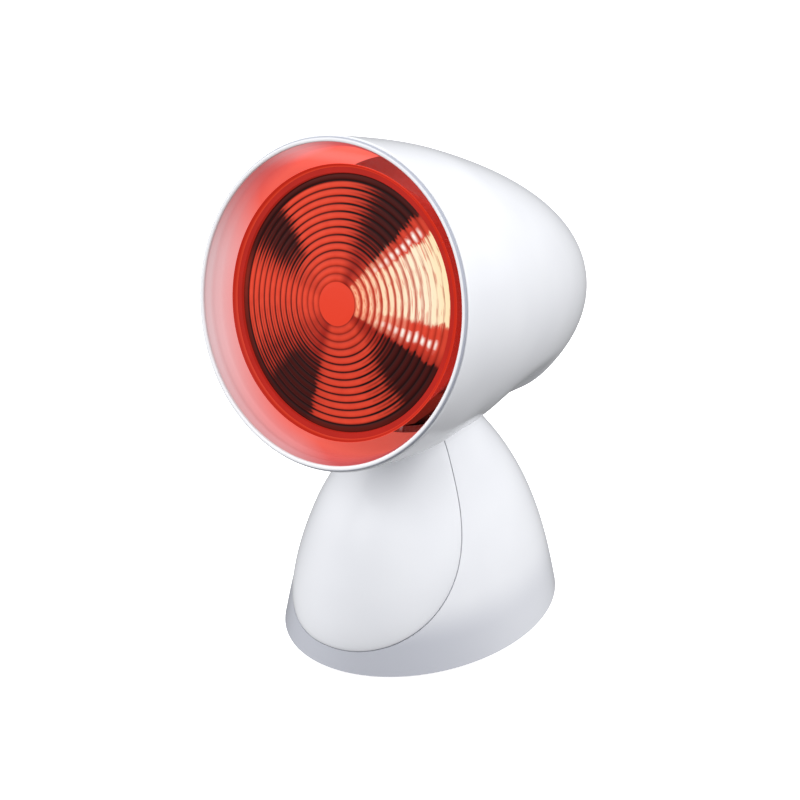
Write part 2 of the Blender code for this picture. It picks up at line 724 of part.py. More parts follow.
def add_hinge_leg(parent):
    """Saddle, leg and hub in one moulding, with five dimples for the click positions."""
    stops = [SADDLE_FRONT, SADDLE_FRONT + 2 * BOSS_R, SADDLE_RAMP_TOP, saddle_end()]
    under = [(saddle_under(back), back) for back in stops]
    over = [(level - SADDLE_THICK, back) for level, back in reversed(under)]
    half = SADDLE_WIDE / 2
    leg = piece("hinge_leg", prism("hinge_leg", under + over, -half, half),
                finish("glass-filled nylon", (0.08, 0.08, 0.085), 0.55), parent)
    down, back = hinge_up(LEG_LEAN)
    side = Vector((0.0, -back, down))
    along = Vector((0.0, down, back))
    foot = Vector((0.0, HINGE_DROP, HINGE_BACK))
    reach = (HINGE_DROP - saddle_flat()) / -down
    top = foot + along * reach
    thick = LEG_THICK / 2
    root = HUB_R * 0.85
    neck = top - along * SADDLE_AIR * 3
    spread = top + along * CLEAR
    outline = [foot + side * root, neck + side * thick, spread + side * thick * 2, spread - side * thick * 2,
               neck - side * thick, foot - side * root]
    join(leg, prism("leg", [(p.y, p.z) for p in outline], -LEG_WIDE / 2, LEG_WIDE / 2))
    hub = rod("hub", HUB_R, -HUB_WIDE / 2, HUB_WIDE / 2, 24)
    join(leg, placed(hub, at(foot, (1.0, 0.0, 0.0))))
    bore = rod("bore", PIN_R + CLEAR, -HUB_WIDE, HUB_WIDE, AROUND_SMALL)
    cut(leg, placed(bore, at(foot, (1.0, 0.0, 0.0))))
    pitch = (TILT_DOWN + TILT_BACK) / (CLICKS - 1)
    for i in range(CLICKS):
        turn = -TILT_BACK + i * pitch
        dimple_down, dimple_back = hinge_up(turn)
        centre = foot + Vector((0.0, dimple_down, dimple_back)) * DIMPLE_REACH
        centre.x = LEG_WIDE / 2
        bm = bmesh.new()
        bmesh.ops.create_uvsphere(bm, u_segments=6, v_segments=4, radius=DIMPLE_R)
        cut(leg, placed(finish_mesh("dimple", bm), Matrix.Translation(centre)))
    for x, y, z in shell_bosses()[:2]:
        level = saddle_under(z)
        bore = rod("bore", SCREW_R + CLEAR, level - SADDLE_THICK - OVERRUN, level + OVERRUN, AROUND_SCREW)
        cut(leg, placed(bore, at((x, 0.0, z), (0.0, 1.0, 0.0))))
    for x, z in strip_screws():
        bore = rod("bore", SCREW_R + CLEAR, saddle_flat() - SADDLE_THICK - OVERRUN, saddle_flat() + OVERRUN,
                   AROUND_SCREW)
        cut(leg, placed(bore, at((x, 0.0, z), (0.0, 1.0, 0.0))))
    return leg


def strip_level():
    """Middle of the bracket strip where it lies on the saddle."""
    return saddle_flat() - SADDLE_THICK - CLEAR - STRIP_THICK / 2


def strip_screws():
    start = saddle_end() - STRIP_TAIL
    return [(-STRIP_WIDE * 0.3, start + BOSS_R), (STRIP_WIDE * 0.3, start + BOSS_R)]


def add_lamp_bracket(parent):
    """A bent steel strip from the saddle, along under the bulb's neck and up behind the lampholder."""
    upper = strip_level()
    start = saddle_end() - STRIP_TAIL
    knee = saddle_end() + STRIP_THICK
    flat = HOLDER_START + HOLDER_WALL
    bend = STRIP_THICK * 2
    middle = [(upper, start), (upper, knee), (STRIP_LEVEL, flat), (STRIP_LEVEL, STRIP_BACK - bend)]
    middle += [(STRIP_LEVEL - bend, STRIP_BACK + STRIP_THICK / 2), (-STRIP_UP, STRIP_BACK + STRIP_THICK / 2)]
    points = [Vector(p) for p in middle]
    sides = []
    for i, point in enumerate(points):
        before = (point - points[i - 1]).normalized() if i else (points[1] - point).normalized()
        after = (points[i + 1] - point).normalized() if i + 1 < len(points) else before
        normal_before = Vector((before.y, -before.x))
        normal_after = Vector((after.y, -after.x))
        normal = (normal_before + normal_after).normalized()
        sides.append(normal * (STRIP_THICK / 2 / normal.dot(normal_before)))
    one = [tuple(p + n) for p, n in zip(points, sides)]
    other = [tuple(p - n) for p, n in zip(points, sides)]
    half = STRIP_WIDE / 2
    strip = piece("lamp_bracket", prism("lamp_bracket", one + other[::-1], -half, half), steel("bracket steel"),
                  parent)
    for x, z in strip_screws():
        bore = rod("bore", SCREW_R + CLEAR, upper - OVERRUN, upper + OVERRUN, AROUND_SCREW)
        cut(strip, placed(bore, at((x, 0.0, z), (0.0, 1.0, 0.0))))
    for x, y, z in shell_bosses()[2:]:
        bore = rod("bore", SCREW_R + CLEAR, STRIP_LEVEL - OVERRUN, STRIP_LEVEL + OVERRUN, AROUND_SCREW)
        cut(strip, placed(bore, at((x, 0.0, z), (0.0, 1.0, 0.0))))
    for y in (-1, 1):
        bore = rod("bore", SCREW_R + CLEAR, STRIP_BACK - OVERRUN, STRIP_BACK + OVERRUN, AROUND_SCREW)
        cut(strip, placed(bore, Matrix.Translation((0.0, y * HOLDER_R * 0.5, 0.0))))
    return strip


def screw_mesh(name, long, radius=SCREW_R, head_r=SCREW_HEAD_R):
    """Pan-headed screw pointing along +Z, its head's seat at the origin."""
    profile = [(0.0, -SCREW_HEAD), (head_r * 0.8, -SCREW_HEAD), (head_r, 0.0), (radius, 0.0)]
    profile += [(radius, long - radius), (0.0, long)]
    return turned(name, profile, AROUND_SCREW, wrap=False)


def add_head_screws(parent):
    for i, (x, y, z) in enumerate(shell_bosses()):
        top, end, deep = boss_span(x, z)
        thick = SADDLE_THICK if z < HINGE_BACK else STRIP_THICK
        mesh = screw_mesh("shell_screw", thick + deep)
        seat = top - thick - 2 * CLEAR
        mesh = placed(mesh, at((x, seat, z), (0.0, 1.0, 0.0)))
        piece(f"shell_screw_{i + 1}", mesh, steel("screw steel"), parent)
    for i, (x, z) in enumerate(strip_screws()):
        seat = strip_level() - STRIP_THICK / 2 - CLEAR
        mesh = screw_mesh("bracket_screw", STRIP_THICK + SADDLE_THICK)
        mesh = placed(mesh, at((x, seat, z), (0.0, 1.0, 0.0)))
        piece(f"bracket_screw_{i + 1}", mesh, steel("screw steel"), parent)
    for i, y in enumerate((-1, 1)):
        seat = STRIP_BACK + STRIP_THICK + CLEAR
        mesh = screw_mesh("holder_screw", STRIP_THICK + SCREW_LONG * 0.6)
        mesh = placed(mesh, at((0.0, y * HOLDER_R * 0.5, seat), (0.0, 0.0, -1.0)))
        piece(f"holder_screw_{i + 1}", mesh, steel("screw steel"), parent)


# The stand
def stand_half_depth(height, inset=0.0):
    """Half the stand's depth: a flared foot that runs up into a dome about the hinge line."""
    dome = DOME_R - inset
    join_height = HINGE_HEIGHT + dome * math.sin(DOME_JOIN)
    if height >= join_height:
        return math.sqrt(max(dome ** 2 - (height - HINGE_HEIGHT) ** 2, 0.0))
    u = max(0.0, height / join_height)
    foot = STAND_HALF_DEPTH - inset
    neck = dome * math.cos(DOME_JOIN)
    foot_slope = -STAND_FLARE * join_height
    neck_slope = -math.tan(DOME_JOIN) * join_height
    return ((2 * u ** 3 - 3 * u ** 2 + 1) * foot + (u ** 3 - 2 * u ** 2 + u) * foot_slope
            + (3 * u ** 2 - 2 * u ** 3) * neck + (u ** 3 - u ** 2) * neck_slope)


def stand_heights(inset=0.0):
    dome = DOME_R - inset
    join_height = HINGE_HEIGHT + dome * math.sin(DOME_JOIN)
    flank_shares = [0.0, 0.1, 0.22, 0.35, 0.48, 0.61, 0.73, 0.84, 0.93]
    heights = [share * join_height for share in flank_shares]
    steps = 6
    for i in range(steps):
        angle = DOME_JOIN + (math.pi / 2 - DOME_JOIN) * i / steps
        heights.append(HINGE_HEIGHT + dome * math.sin(angle))
    return heights


def stand_spot(angle, height, inset=0.0, proud=0.0):
    """A point of the stand at an angle from its front, in the stand's frame. Angles follow the ellipse."""
    deep = stand_half_depth(height, inset) + proud
    return deep / STAND_RATIO * math.sin(angle), -deep * math.cos(angle), height + STAND_GAP


def stand_ring(height, inset):
    return [stand_spot(2 * math.pi * i / AROUND, height, inset) for i in range(AROUND)]


def seam_angle(height, gap=0.0):
    """Half angle of the front panel's seam: egg-shaped below, and straight up to the top."""
    share = (height - SEAM_LOW + gap) / SEAM_RISE
    if share <= 0:
        return 0.0
    shape = 1.0 if share >= 1 else (1 - (1 - share) ** SEAM_SHAPE) ** (1 / SEAM_SHAPE)
    width = max(stand_half_depth(height) / STAND_RATIO, DOME_R / 8)
    return SEAM_ANGLE * shape + gap / width


def panel_block(name, gap, outside, inside, pillow=0.0, columns=12):
    """A solid that follows the stand's front inside the seam."""
    join_height = HINGE_HEIGHT + DOME_R * math.sin(DOME_JOIN)
    width_shares = [0.16, 0.32, 0.48, 0.62, 0.75, 0.85, 0.93, 0.98]
    rise_shares = [1 - (1 - share ** SEAM_SHAPE) ** (1 / SEAM_SHAPE) for share in width_shares]
    heights = [SEAM_LOW - gap + SEAM_RISE * share for share in rise_shares]
    heights += [h for h in stand_heights() if h > heights[-1] + DOME_R / 20]
    rings = []
    for height in heights:
        half = seam_angle(height, gap)
        fade = 1 - ease((height - HINGE_HEIGHT) / (join_height - HINGE_HEIGHT))
        low = max(0.0, 1 - (height - SEAM_LOW) / SEAM_RISE)
        front = []
        back = []
        for i in range(columns + 1):
            across = 2 * i / columns - 1
            full = min(1.0, abs(across * half / SEAM_ANGLE) ** SEAM_SHAPE + low ** SEAM_SHAPE)
            proud = outside + pillow * (1 - full) * fade
            front.append(stand_spot(across * half, height, 0.0, proud))
            back.append(stand_spot(across * half, height, inside))
        rings.append(front + back[::-1])
    tip = SEAM_LOW - gap
    middle = stand_spot(0.0, tip, 0.0, (outside - inside) / 2)
    crown_height = HINGE_HEIGHT + DOME_R + outside
    rings = [[middle]] + rings + [[(0.0, 0.0, crown_height - inside / 2 + STAND_GAP)]]
    return skin(name, rings)


def slot_mesh():
    """The opening in the top of the dome that the leg swings in."""
    reach = DOME_R + OVERRUN
    thick = LEG_THICK / 2 / math.cos(TILT_DOWN) + 3 * CLEAR
    front = -DOME_R * math.sin(TILT_DOWN - LEG_LEAN) - thick
    rear = DOME_R * math.sin(TILT_BACK + LEG_LEAN) + thick
    half = LEG_WIDE / 2 + SLOT_SIDE
    low = HINGE_Z + DOME_R * math.cos(math.radians(50.0))
    return slab("slot", (-half, half), (front, rear), (low, HINGE_Z + reach))


def base_screw_places():
    """Four screws near the stand's lower edge, set on the ellipse's diagonals."""
    spots = []
    inset = STAND_WALL + BOSS_R * 0.6
    for angle in (35.0, 145.0, 215.0, 325.0):
        x, y, z = stand_spot(math.radians(angle), SCREW_BOSS_LONG, inset)
        spots.append((x, y))
    return spots


def foot_places():
    return [(x * 0.62, y * 0.94) for x, y in base_screw_places()]


def rear_seat(name, height, tall, parent):
    """A place on the back of the stand, with +Z straight out of its wall and +Y up along it."""
    step = tall / 4
    rise = stand_half_depth(height - step) - stand_half_depth(height + step)
    lean = math.atan2(rise, 2 * step)
    deep = stand_half_depth(height)
    return empty(name, (0.0, deep, height + STAND_GAP), (math.pi / 2 - lean, 0.0, math.pi), parent)


def local_matrix(frame):
    return frame.matrix_basis.copy()


def add_base_shell(parent, switch_seat, gland_seat):
    outer = [stand_ring(h, 0.0) for h in stand_heights()]
    inner = [stand_ring(h, STAND_WALL) for h in stand_heights(STAND_WALL)[::3]]
    crown = [(0.0, 0.0, HINGE_Z + DOME_R)]
    inner_crown = [(0.0, 0.0, HINGE_Z + DOME_R - STAND_WALL)]
    rings = [crown] + outer[::-1] + inner + [inner_crown]
    shell = piece("base_shell", skin("base_shell", rings), white_abs("stand white"), parent)
    for x, y in base_screw_places():
        boss = rod("boss", BOSS_R, PLATE_TOP + CLEAR, SCREW_BOSS_LONG + STAND_GAP, AROUND_SCREW)
        join(shell, placed(boss, Matrix.Translation((x, y, 0.0))))
        bore = rod("bore", SCREW_R + CLEAR, -OVERRUN, SCREW_BOSS_LONG - SCREW_R, AROUND_SCREW)
        cut(shell, placed(bore, Matrix.Translation((x, y, 0.0))))
    cut(shell, panel_block("panel_opening", CLEAR, OVERRUN, STAND_WALL + OVERRUN))
    cut(shell, slot_mesh())
    wide = SWITCH_WIDE / 2 + CLEAR
    tall = SWITCH_TALL / 2 + CLEAR
    seat = slab("seat", (-wide - BEZEL_RIM, wide + BEZEL_RIM), (-tall - BEZEL_RIM, tall + BEZEL_RIM),
                (-BEZEL_SINK - CLEAR, OVERRUN))
    cut(shell, placed(seat, local_matrix(switch_seat)))
    hole = slab("hole", (-wide, wide), (-tall, tall), (-STAND_WALL - OVERRUN, OVERRUN))
    cut(shell, placed(hole, local_matrix(switch_seat)))
    way = rod("way", GLAND_NECK_R + CLEAR, -STAND_WALL - OVERRUN, OVERRUN)
    cut(shell, placed(way, local_matrix(gland_seat)))
    return shell


def add_front_panel(parent):
    """The egg-shaped front: a pillowed skin inside the seam, with tabs that hook behind the stand's edge."""
    mesh = panel_block("front_panel", 0.0, -PANEL_DROP, PANEL_WALL, PANEL_PILLOW)
    panel = piece("front_panel", mesh, white_abs("panel white"), parent)
    for height_share in (0.3, 0.75):
        height = SEAM_LOW + SEAM_RISE * height_share
        for sign in (-1, 1):
            rings = []
            for level in (height - PANEL_TAB / 2, height + PANEL_TAB / 2):
                turn = seam_angle(level)
                half = PANEL_TAB / 2 * STAND_RATIO / stand_half_depth(level)
                turns = [turn - half, turn, turn + half]
                behind = STAND_WALL + 4 * CLEAR
                near = [stand_spot(sign * a, level, behind) for a in turns]
                far = [stand_spot(sign * a, level, behind + PANEL_WALL * 0.8) for a in turns]
                near[0] = stand_spot(sign * turns[0], level, PANEL_WALL * 0.6)
                rings.append(near + far[::-1])
            join(panel, skin("tab", rings))
    cut(panel, slot_mesh())
    return panel


def add_base_plate(parent):
    rim = stand_half_depth(PLATE_TOP - STAND_GAP, STAND_WALL) - CLEAR
    rings = []
    for z in (PLATE_LEVEL, PLATE_TOP):
        turns = [2 * math.pi * i / AROUND for i in range(AROUND)]
        rings.append([(rim / STAND_RATIO * math.sin(a), -rim * math.cos(a), z) for a in turns])
    plate = piece("base_plate", skin("base_plate", rings), black_moulding("plate black"), parent)
    holes = [(x, y, SCREW_R + CLEAR) for x, y in base_screw_places()]
    holes += [(x, y, FOOT_STUD_R + CLEAR) for x, y in foot_places()]
    holes += [(x, 0.0, BOLT_R + CLEAR) for x in bolt_places()]
    for x, y, radius in holes:
        bore = rod("bore", radius, PLATE_LEVEL - OVERRUN, PLATE_TOP + OVERRUN, AROUND_SCREW)
        cut(plate, placed(bore, Matrix.Translation((x, y, 0.0))))
    return plate


def bolt_places():
    return -BOLT_SPACING / 2, BOLT_SPACING / 2


def add_ballast(parent):
    """The cast weight that keeps the lamp upright."""
    rings = []
    turns = [2 * math.pi * (i + 0.5) / AROUND_BULB for i in range(AROUND_BULB)]
    bevel = WEIGHT_THICK / 4
    for z, inset in ((WEIGHT_LOW, 0.0), (WEIGHT_TOP - bevel, 0.0), (WEIGHT_TOP, bevel)):
        wide = WEIGHT_HALF_WIDTH - inset
        deep = WEIGHT_HALF_DEPTH - inset
        rings.append([(wide * math.sin(a), -deep * math.cos(a), z) for a in turns])
    iron = finish("cast iron", (0.1, 0.1, 0.11), 0.7, 0.6)
    weight = piece("ballast_weight", skin("ballast_weight", rings), iron, parent)
    for x in bolt_places():
        bore = rod("bore", BOLT_R + CLEAR, WEIGHT_LOW - OVERRUN, WEIGHT_TOP + OVERRUN, AROUND_SMALL)
        cut(weight, placed(bore, Matrix.Translation((x, 0.0, 0.0))))
    return weight


def add_feet(parent):
    top = PLATE_LEVEL - CLEAR
    for i, (x, y) in enumerate(foot_places()):
        profile = [(0.0, 0.0), (FOOT_R * 0.9, 0.0), (FOOT_R, FOOT_R * 0.1), (FOOT_R, top), (FOOT_STUD_R, top)]
        profile += [(FOOT_STUD_R, PLATE_TOP), (0.0, PLATE_TOP)]
        mesh = placed(turned("rubber_foot", profile, AROUND_FOOT, wrap=False), Matrix.Translation((x, y, 0.0)))
        piece(f"rubber_foot_{i + 1}", mesh, finish("grey rubber", (0.12, 0.12, 0.12), 0.85), parent)


def add_base_fasteners(parent):
    seat = PLATE_LEVEL - CLEAR
    for i, (x, y) in enumerate(base_screw_places()):
        mesh = placed(screw_mesh("base_screw", SCREW_BOSS_LONG * 0.6), Matrix.Translation((x, y, seat)))
        piece(f"base_screw_{i + 1}", mesh, steel("screw steel"), parent)
    top = YOKE_LOW + YOKE_THICK
    for i, x in enumerate(bolt_places()):
        mesh = screw_mesh("stack_bolt", top - seat + NUT_THICK, BOLT_R, BOLT_R * 1.8)
        mesh = placed(mesh, Matrix.Translation((x, 0.0, seat)))
        piece(f"stack_bolt_{i + 1}", mesh, steel("bolt steel"), parent)
        nut_seat = Matrix.Translation((x, 0.0, top + CLEAR))
        add_nut(f"stack_nut_{i + 1}", BOLT_R, BOLT_R * 2, NUT_THICK * 0.7, nut_seat, parent)


def add_nut(name, bore, wide, thick, matrix, parent):
    turns = [math.pi * i / 3 for i in range(6)]
    rings = [[(wide * math.cos(a), wide * math.sin(a), z) for a in turns] for z in (0.0, thick)]
    nut = piece(name, placed(skin(name, rings), matrix), steel("nut steel"), parent)
    cut(nut, placed(rod("bore", bore + CLEAR, -OVERRUN, thick + OVERRUN, AROUND_SMALL), matrix))
    return nut


def add_hinge_yoke(parent):
    """A U of sheet steel that carries the hinge pin in its two cheeks."""
    half = YOKE_DEEP / 2
    low = YOKE_LOW
    mesh = slab("hinge_yoke", (-CHEEK_OUT, CHEEK_OUT), (-half, half), (low, low + YOKE_THICK))
    yoke = piece("hinge_yoke", mesh, steel("yoke steel"), parent)
    top = HINGE_Z + YOKE_ABOVE
    corner = half * 0.5
    outline = [(-half, low), (half, low), (half, top - corner), (half - corner, top), (corner - half, top),
               (-half, top - corner)]
    for start, end in ((-CHEEK_OUT, -CHEEK_IN), (CHEEK_IN, CHEEK_OUT)):
        join(yoke, prism("cheek", outline, start, end))
    bore = rod("bore", PIN_R + CLEAR, -CHEEK_OUT - OVERRUN, CHEEK_OUT + OVERRUN)
    cut(yoke, placed(bore, at((0.0, 0.0, HINGE_Z), (1.0, 0.0, 0.0))))
    way = rod("way", PLUNGER_R + CLEAR, CHEEK_IN - OVERRUN, CHEEK_OUT + OVERRUN)
    cut(yoke, placed(way, at((0.0, 0.0, HINGE_Z + DIMPLE_REACH), (1.0, 0.0, 0.0))))
    for x in bolt_places():
        bore = rod("bore", BOLT_R + CLEAR, low - OVERRUN, low + YOKE_THICK + OVERRUN, AROUND_SCREW)
        cut(yoke, placed(bore, Matrix.Translation((x, 0.0, 0.0))))
    return yoke


def add_hinge_hardware(parent):
    axis = at((0.0, 0.0, HINGE_Z), (1.0, 0.0, 0.0))
    start = -CHEEK_OUT - CLEAR
    end = CHEEK_OUT + CLEAR + NUT_THICK + PIN_R / 2
    pin = [(0.0, start - PIN_HEAD), (PIN_HEAD_R * 0.8, start - PIN_HEAD), (PIN_HEAD_R, start - PIN_HEAD / 2)]
    pin += [(PIN_HEAD_R, start), (PIN_R, start), (PIN_R, end - PIN_R / 4), (PIN_R * 0.75, end), (0.0, end)]
    mesh = placed(turned("hinge_pin", pin, AROUND_SMALL, wrap=False), axis)
    piece("hinge_pin", mesh, steel("pin steel"), parent)
    beyond = at((CHEEK_OUT + CLEAR, 0.0, HINGE_Z), (1.0, 0.0, 0.0))
    add_nut("hinge_nut", PIN_R, PIN_HEAD_R, NUT_THICK, beyond, parent)
    for name, sign in (("friction_washer_left", -1), ("friction_washer_right", 1)):
        near = HUB_WIDE / 2 + CLEAR
        span = sorted((sign * near, sign * (near + WASHER_THICK)))
        profile = [(PIN_R + CLEAR, span[0]), (WASHER_R, span[0]), (WASHER_R, span[1]), (PIN_R + CLEAR, span[1])]
        mesh = placed(turned(name, profile, AROUND_SMALL), axis)
        piece(name, mesh, finish("washer fibre", (0.3, 0.12, 0.08), 0.8), parent)
    nose = LEG_WIDE / 2 + CLEAR
    body = [(0.0, nose), (PLUNGER_NOSE_R * 0.7, nose + PLUNGER_NOSE_R * 0.3)]
    body += [(PLUNGER_NOSE_R, nose + PLUNGER_NOSE_R), (PLUNGER_NOSE_R, CHEEK_IN), (PLUNGER_R, CHEEK_IN)]
    body += [(PLUNGER_R, CHEEK_IN + PLUNGER_LONG), (0.0, CHEEK_IN + PLUNGER_LONG)]
    mesh = turned("detent_plunger", body, AROUND_SMALL, wrap=False)
    piece("detent_plunger", placed(mesh, at((0.0, 0.0, HINGE_Z + DIMPLE_REACH), (1.0, 0.0, 0.0))),
          steel("plunger steel"), parent)


def add_switch(parent, seat):
    """Snap-in rocker switch: housing with its bezel, and two blades behind."""
    wide = SWITCH_WIDE / 2
    tall = SWITCH_TALL / 2
    floor = -BEZEL_SINK
    lip = BEZEL_THICK - BEZEL_SINK
    bezel_wide = wide + BEZEL_RIM
    bezel_tall = tall + BEZEL_RIM
    mesh = slab("switch_housing", (-bezel_wide, bezel_wide), (-bezel_tall, bezel_tall), (floor, lip))
    housing = piece("switch_housing", mesh, black_moulding("housing black"), seat)
    join(housing, slab("body", (-wide, wide), (-tall, tall), (floor - SWITCH_DEEP, floor + BEZEL_THICK / 2)))
    inside = SWITCH_WALL
    cut(housing, slab("well", (-wide + inside, wide - inside), (-tall + inside, tall - inside),
                      (floor - SWITCH_DEEP + inside, lip + OVERRUN)))
    pivot = rod("pivot", ROCKER_PIN_R + CLEAR, -wide - OVERRUN, wide + OVERRUN, AROUND_SCREW)
    cut(housing, placed(pivot, at((0.0, 0.0, -ROCKER_PIVOT), (1.0, 0.0, 0.0))))
    for name, y in (("switch_blade_line", -tall / 2), ("switch_blade_load", tall / 2)):
        start = floor - SWITCH_DEEP - CLEAR
        blade = slab(name, (-BLADE_WIDE / 2, BLADE_WIDE / 2), (y - BLADE_THICK / 2, y + BLADE_THICK / 2),
                     (start - BLADE_LONG, start))
        piece(name, blade, brass("blade brass"), seat)
    return housing


def add_rocker(seat):
    """The rocker rests pressed in at its lower end, which is off, and turns about its pivot pins."""
    axis = empty("rocker_axis", (0.0, 0.0, -ROCKER_PIVOT), (ROCKER_THROW / 2, 0.0, 0.0), seat)
    half = SWITCH_WIDE / 2 - SWITCH_WALL - CLEAR
    reach = SWITCH_TALL / 2 - SWITCH_WALL - 4 * CLEAR
    top = ROCKER_TOP
    end = reach * 0.93
    outline = [(-end, top), (0.0, top - ROCKER_DIP), (end, top), (end, -ROCKER_PIN_R)]
    outline += [(reach / 2, -ROCKER_DEEP), (-reach / 2, -ROCKER_DEEP), (-end, -ROCKER_PIN_R)]
    mesh = prism("switch_rocker", outline, -half, half)
    rocker = piece("switch_rocker", mesh, black_moulding("rocker black"), axis)
    pins = rod("pins", ROCKER_PIN_R, -half - SWITCH_WALL * 0.8, half + SWITCH_WALL * 0.8, AROUND_SCREW)
    join(rocker, placed(pins, at((0.0, 0.0, 0.0), (1.0, 0.0, 0.0))))
    return rocker


def add_cord_inlet(seat):
    """The bush that the mains cord would pass through, snapped into the shell."""
    back = -STAND_WALL * 1.15 - CLEAR
    profile = [(GLAND_BORE_R, CLEAR * 2 + GLAND_FLANGE), (GLAND_R * 0.9, CLEAR * 2 + GLAND_FLANGE)]
    profile += [(GLAND_R, CLEAR * 2 + GLAND_FLANGE / 2), (GLAND_R, CLEAR * 2), (GLAND_NECK_R, CLEAR * 2)]
    profile += [(GLAND_NECK_R, back - CLEAR), (GLAND_NECK_R + GLAND_FLANGE / 2, back - CLEAR * 2)]
    profile += [(GLAND_NECK_R, back - GLAND_FLANGE * 2), (GLAND_BORE_R, back - GLAND_FLANGE * 2)]
    mesh = turned("cord_inlet_bush", profile, AROUND_SMALL)
    return piece("cord_inlet_bush", mesh, finish("bush rubber", (0.5, 0.5, 0.52), 0.7), seat)


def block_place():
    return WEIGHT_HALF_DEPTH + BLOCK_DEEP / 2 + 2 * CLEAR


def add_terminal_block(parent):
    y = block_place()
    low = PLATE_TOP + CLEAR
    half = BLOCK_WIDE / 2
    deep = BLOCK_DEEP / 2
    top = low + BLOCK_TALL
    shoulder = BLOCK_TALL / 4
    outline = [(y - deep, low), (y + deep, low), (y + deep, top - shoulder), (y + deep / 2, top),
               (y - deep / 2, top), (y - deep, top - shoulder)]
    block = piece("terminal_block", prism("terminal_block", outline, -half, half),
                  finish("natural nylon", (0.8, 0.78, 0.7), 0.5), parent)
    for x in (-half / 2, half / 2):
        bore = rod("bore", BLOCK_HOLE_R, y - deep - OVERRUN, y + deep + OVERRUN, AROUND_SCREW)
        cut(block, placed(bore, at((x, 0.0, low + BLOCK_TALL * 0.35), (0.0, 1.0, 0.0))))
    return block


def box_middle():
    """Distance from the rim's centre back to the middle of the whole lamp, front to back, at rest."""
    lip_r = RIM_R - SHADE_EDGE - LINER_LIP / 2
    front = -lip_r * math.sin(REST_TILT) - (CLEAR + LINER_LIP_THICK) * math.cos(REST_TILT)
    rear = 0.0
    for i in range(101):
        radius = CAP_R * i / 100
        back = shade_back(radius) + CAP_RISE
        rear = max(rear, back * math.cos(REST_TILT) + (radius + SHADE_LIFT) * math.sin(REST_TILT))
    return (front + rear) / 2


def main():
    clear_scene()
    hinge_y = HINGE_BACK * math.cos(REST_TILT) - HINGE_DROP * math.sin(REST_TILT) - box_middle()
    stand = empty("stand", (0.0, hinge_y, 0.0))
    tilt_axis = empty("tilt_axis", (0.0, hinge_y, HINGE_Z))
    turn = (-(math.pi / 2 + REST_TILT), 0.0, 0.0)
    carry = Matrix.Rotation(turn[0], 4, "X") @ Vector((0.0, -HINGE_DROP, -HINGE_BACK))
    head = empty("shade_frame", carry, turn, tilt_axis)
    add_head_shell(head)
    add_inner_shade(head)
    add_rear_vent_cap(head)
    add_bulb_lens(head)
    add_bulb_reflector(head)
    add_bulb_cap(head)
    add_bulb_contact(head)
    add_bulb_stem(head)
    add_bulb_filament(head)
    add_lampholder(head)
    add_hinge_leg(head)
    add_lamp_bracket(head)
    add_head_screws(head)
    switch_seat = rear_seat("switch_seat", SWITCH_HEIGHT, SWITCH_TALL, stand)
    gland_seat = rear_seat("gland_seat", GLAND_HEIGHT, 2 * GLAND_R, stand)
    add_base_shell(stand, switch_seat, gland_seat)
    add_front_panel(stand)
    add_base_plate(stand)
    add_ballast(stand)
    add_feet(stand)
    add_base_fasteners(stand)
    add_hinge_yoke(stand)
    add_hinge_hardware(stand)
    add_switch(stand, switch_seat)
    add_rocker(switch_seat)
    add_cord_inlet(gland_seat)
    add_terminal_block(stand)


main()
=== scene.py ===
from functools import partial
from math import atan2, cos, hypot, pi, radians, sin, sqrt, tan

import bmesh
import bpy
from mathutils import Matrix, Vector


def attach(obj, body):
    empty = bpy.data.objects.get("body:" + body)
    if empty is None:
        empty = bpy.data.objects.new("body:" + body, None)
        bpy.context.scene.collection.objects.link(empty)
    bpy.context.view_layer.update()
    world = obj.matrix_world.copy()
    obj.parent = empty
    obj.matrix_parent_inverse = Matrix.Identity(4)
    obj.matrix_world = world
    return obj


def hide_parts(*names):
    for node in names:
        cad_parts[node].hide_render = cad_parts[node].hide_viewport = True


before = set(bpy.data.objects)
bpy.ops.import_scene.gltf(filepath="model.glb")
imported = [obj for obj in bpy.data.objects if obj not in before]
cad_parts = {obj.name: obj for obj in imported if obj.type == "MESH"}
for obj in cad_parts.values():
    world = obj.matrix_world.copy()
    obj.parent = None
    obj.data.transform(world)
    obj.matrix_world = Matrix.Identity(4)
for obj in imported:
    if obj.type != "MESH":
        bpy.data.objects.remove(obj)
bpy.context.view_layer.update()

print("frame loaded")

mm = 0.001

# where things stand: the same places and sizes as the solids
stance = {
    "lookUp": radians(15.9),
    "hinge": Vector((0.0, -7.743, 60.0)) * mm,
    "hingeBack": 98.3 * mm,
    "hingeDrop": 97.6 * mm,
    "standEdge": 1.0 * mm,
}
shadeTurn = Matrix.Rotation(-(pi / 2 + stance["lookUp"]), 4, "X")
shadePlace = (Matrix.Translation(stance["hinge"]) @ shadeTurn
              @ Matrix.Translation((0.0, -stance["hingeDrop"], -stance["hingeBack"])))
standPlace = Matrix.Translation((0.0, stance["hinge"].y, stance["standEdge"]))


# colours and nodes
def fromHex(text):
    parts = [int(text[i:i + 2], 16) / 255 for i in (1, 3, 5)]
    return [p / 12.92 if p <= 0.04045 else ((p + 0.055) / 1.055) ** 2.4 for p in parts] + [1.0]


def fillRamp(ramp, stops):
    ramp.interpolation = "EASE"
    while len(ramp.elements) > 1:
        ramp.elements.remove(ramp.elements[-1])
    for i, (place, tone) in enumerate(stops):
        stop = ramp.elements.new(place) if i else ramp.elements[0]
        stop.position = place
        stop.color = fromHex(tone) if isinstance(tone, str) else (tone, tone, tone, 1.0)


def setSocket(socket, value):
    if isinstance(value, bpy.types.NodeSocket):
        socket.id_data.links.new(value, socket)
    else:
        socket.default_value = fromHex(value) if isinstance(value, str) else value


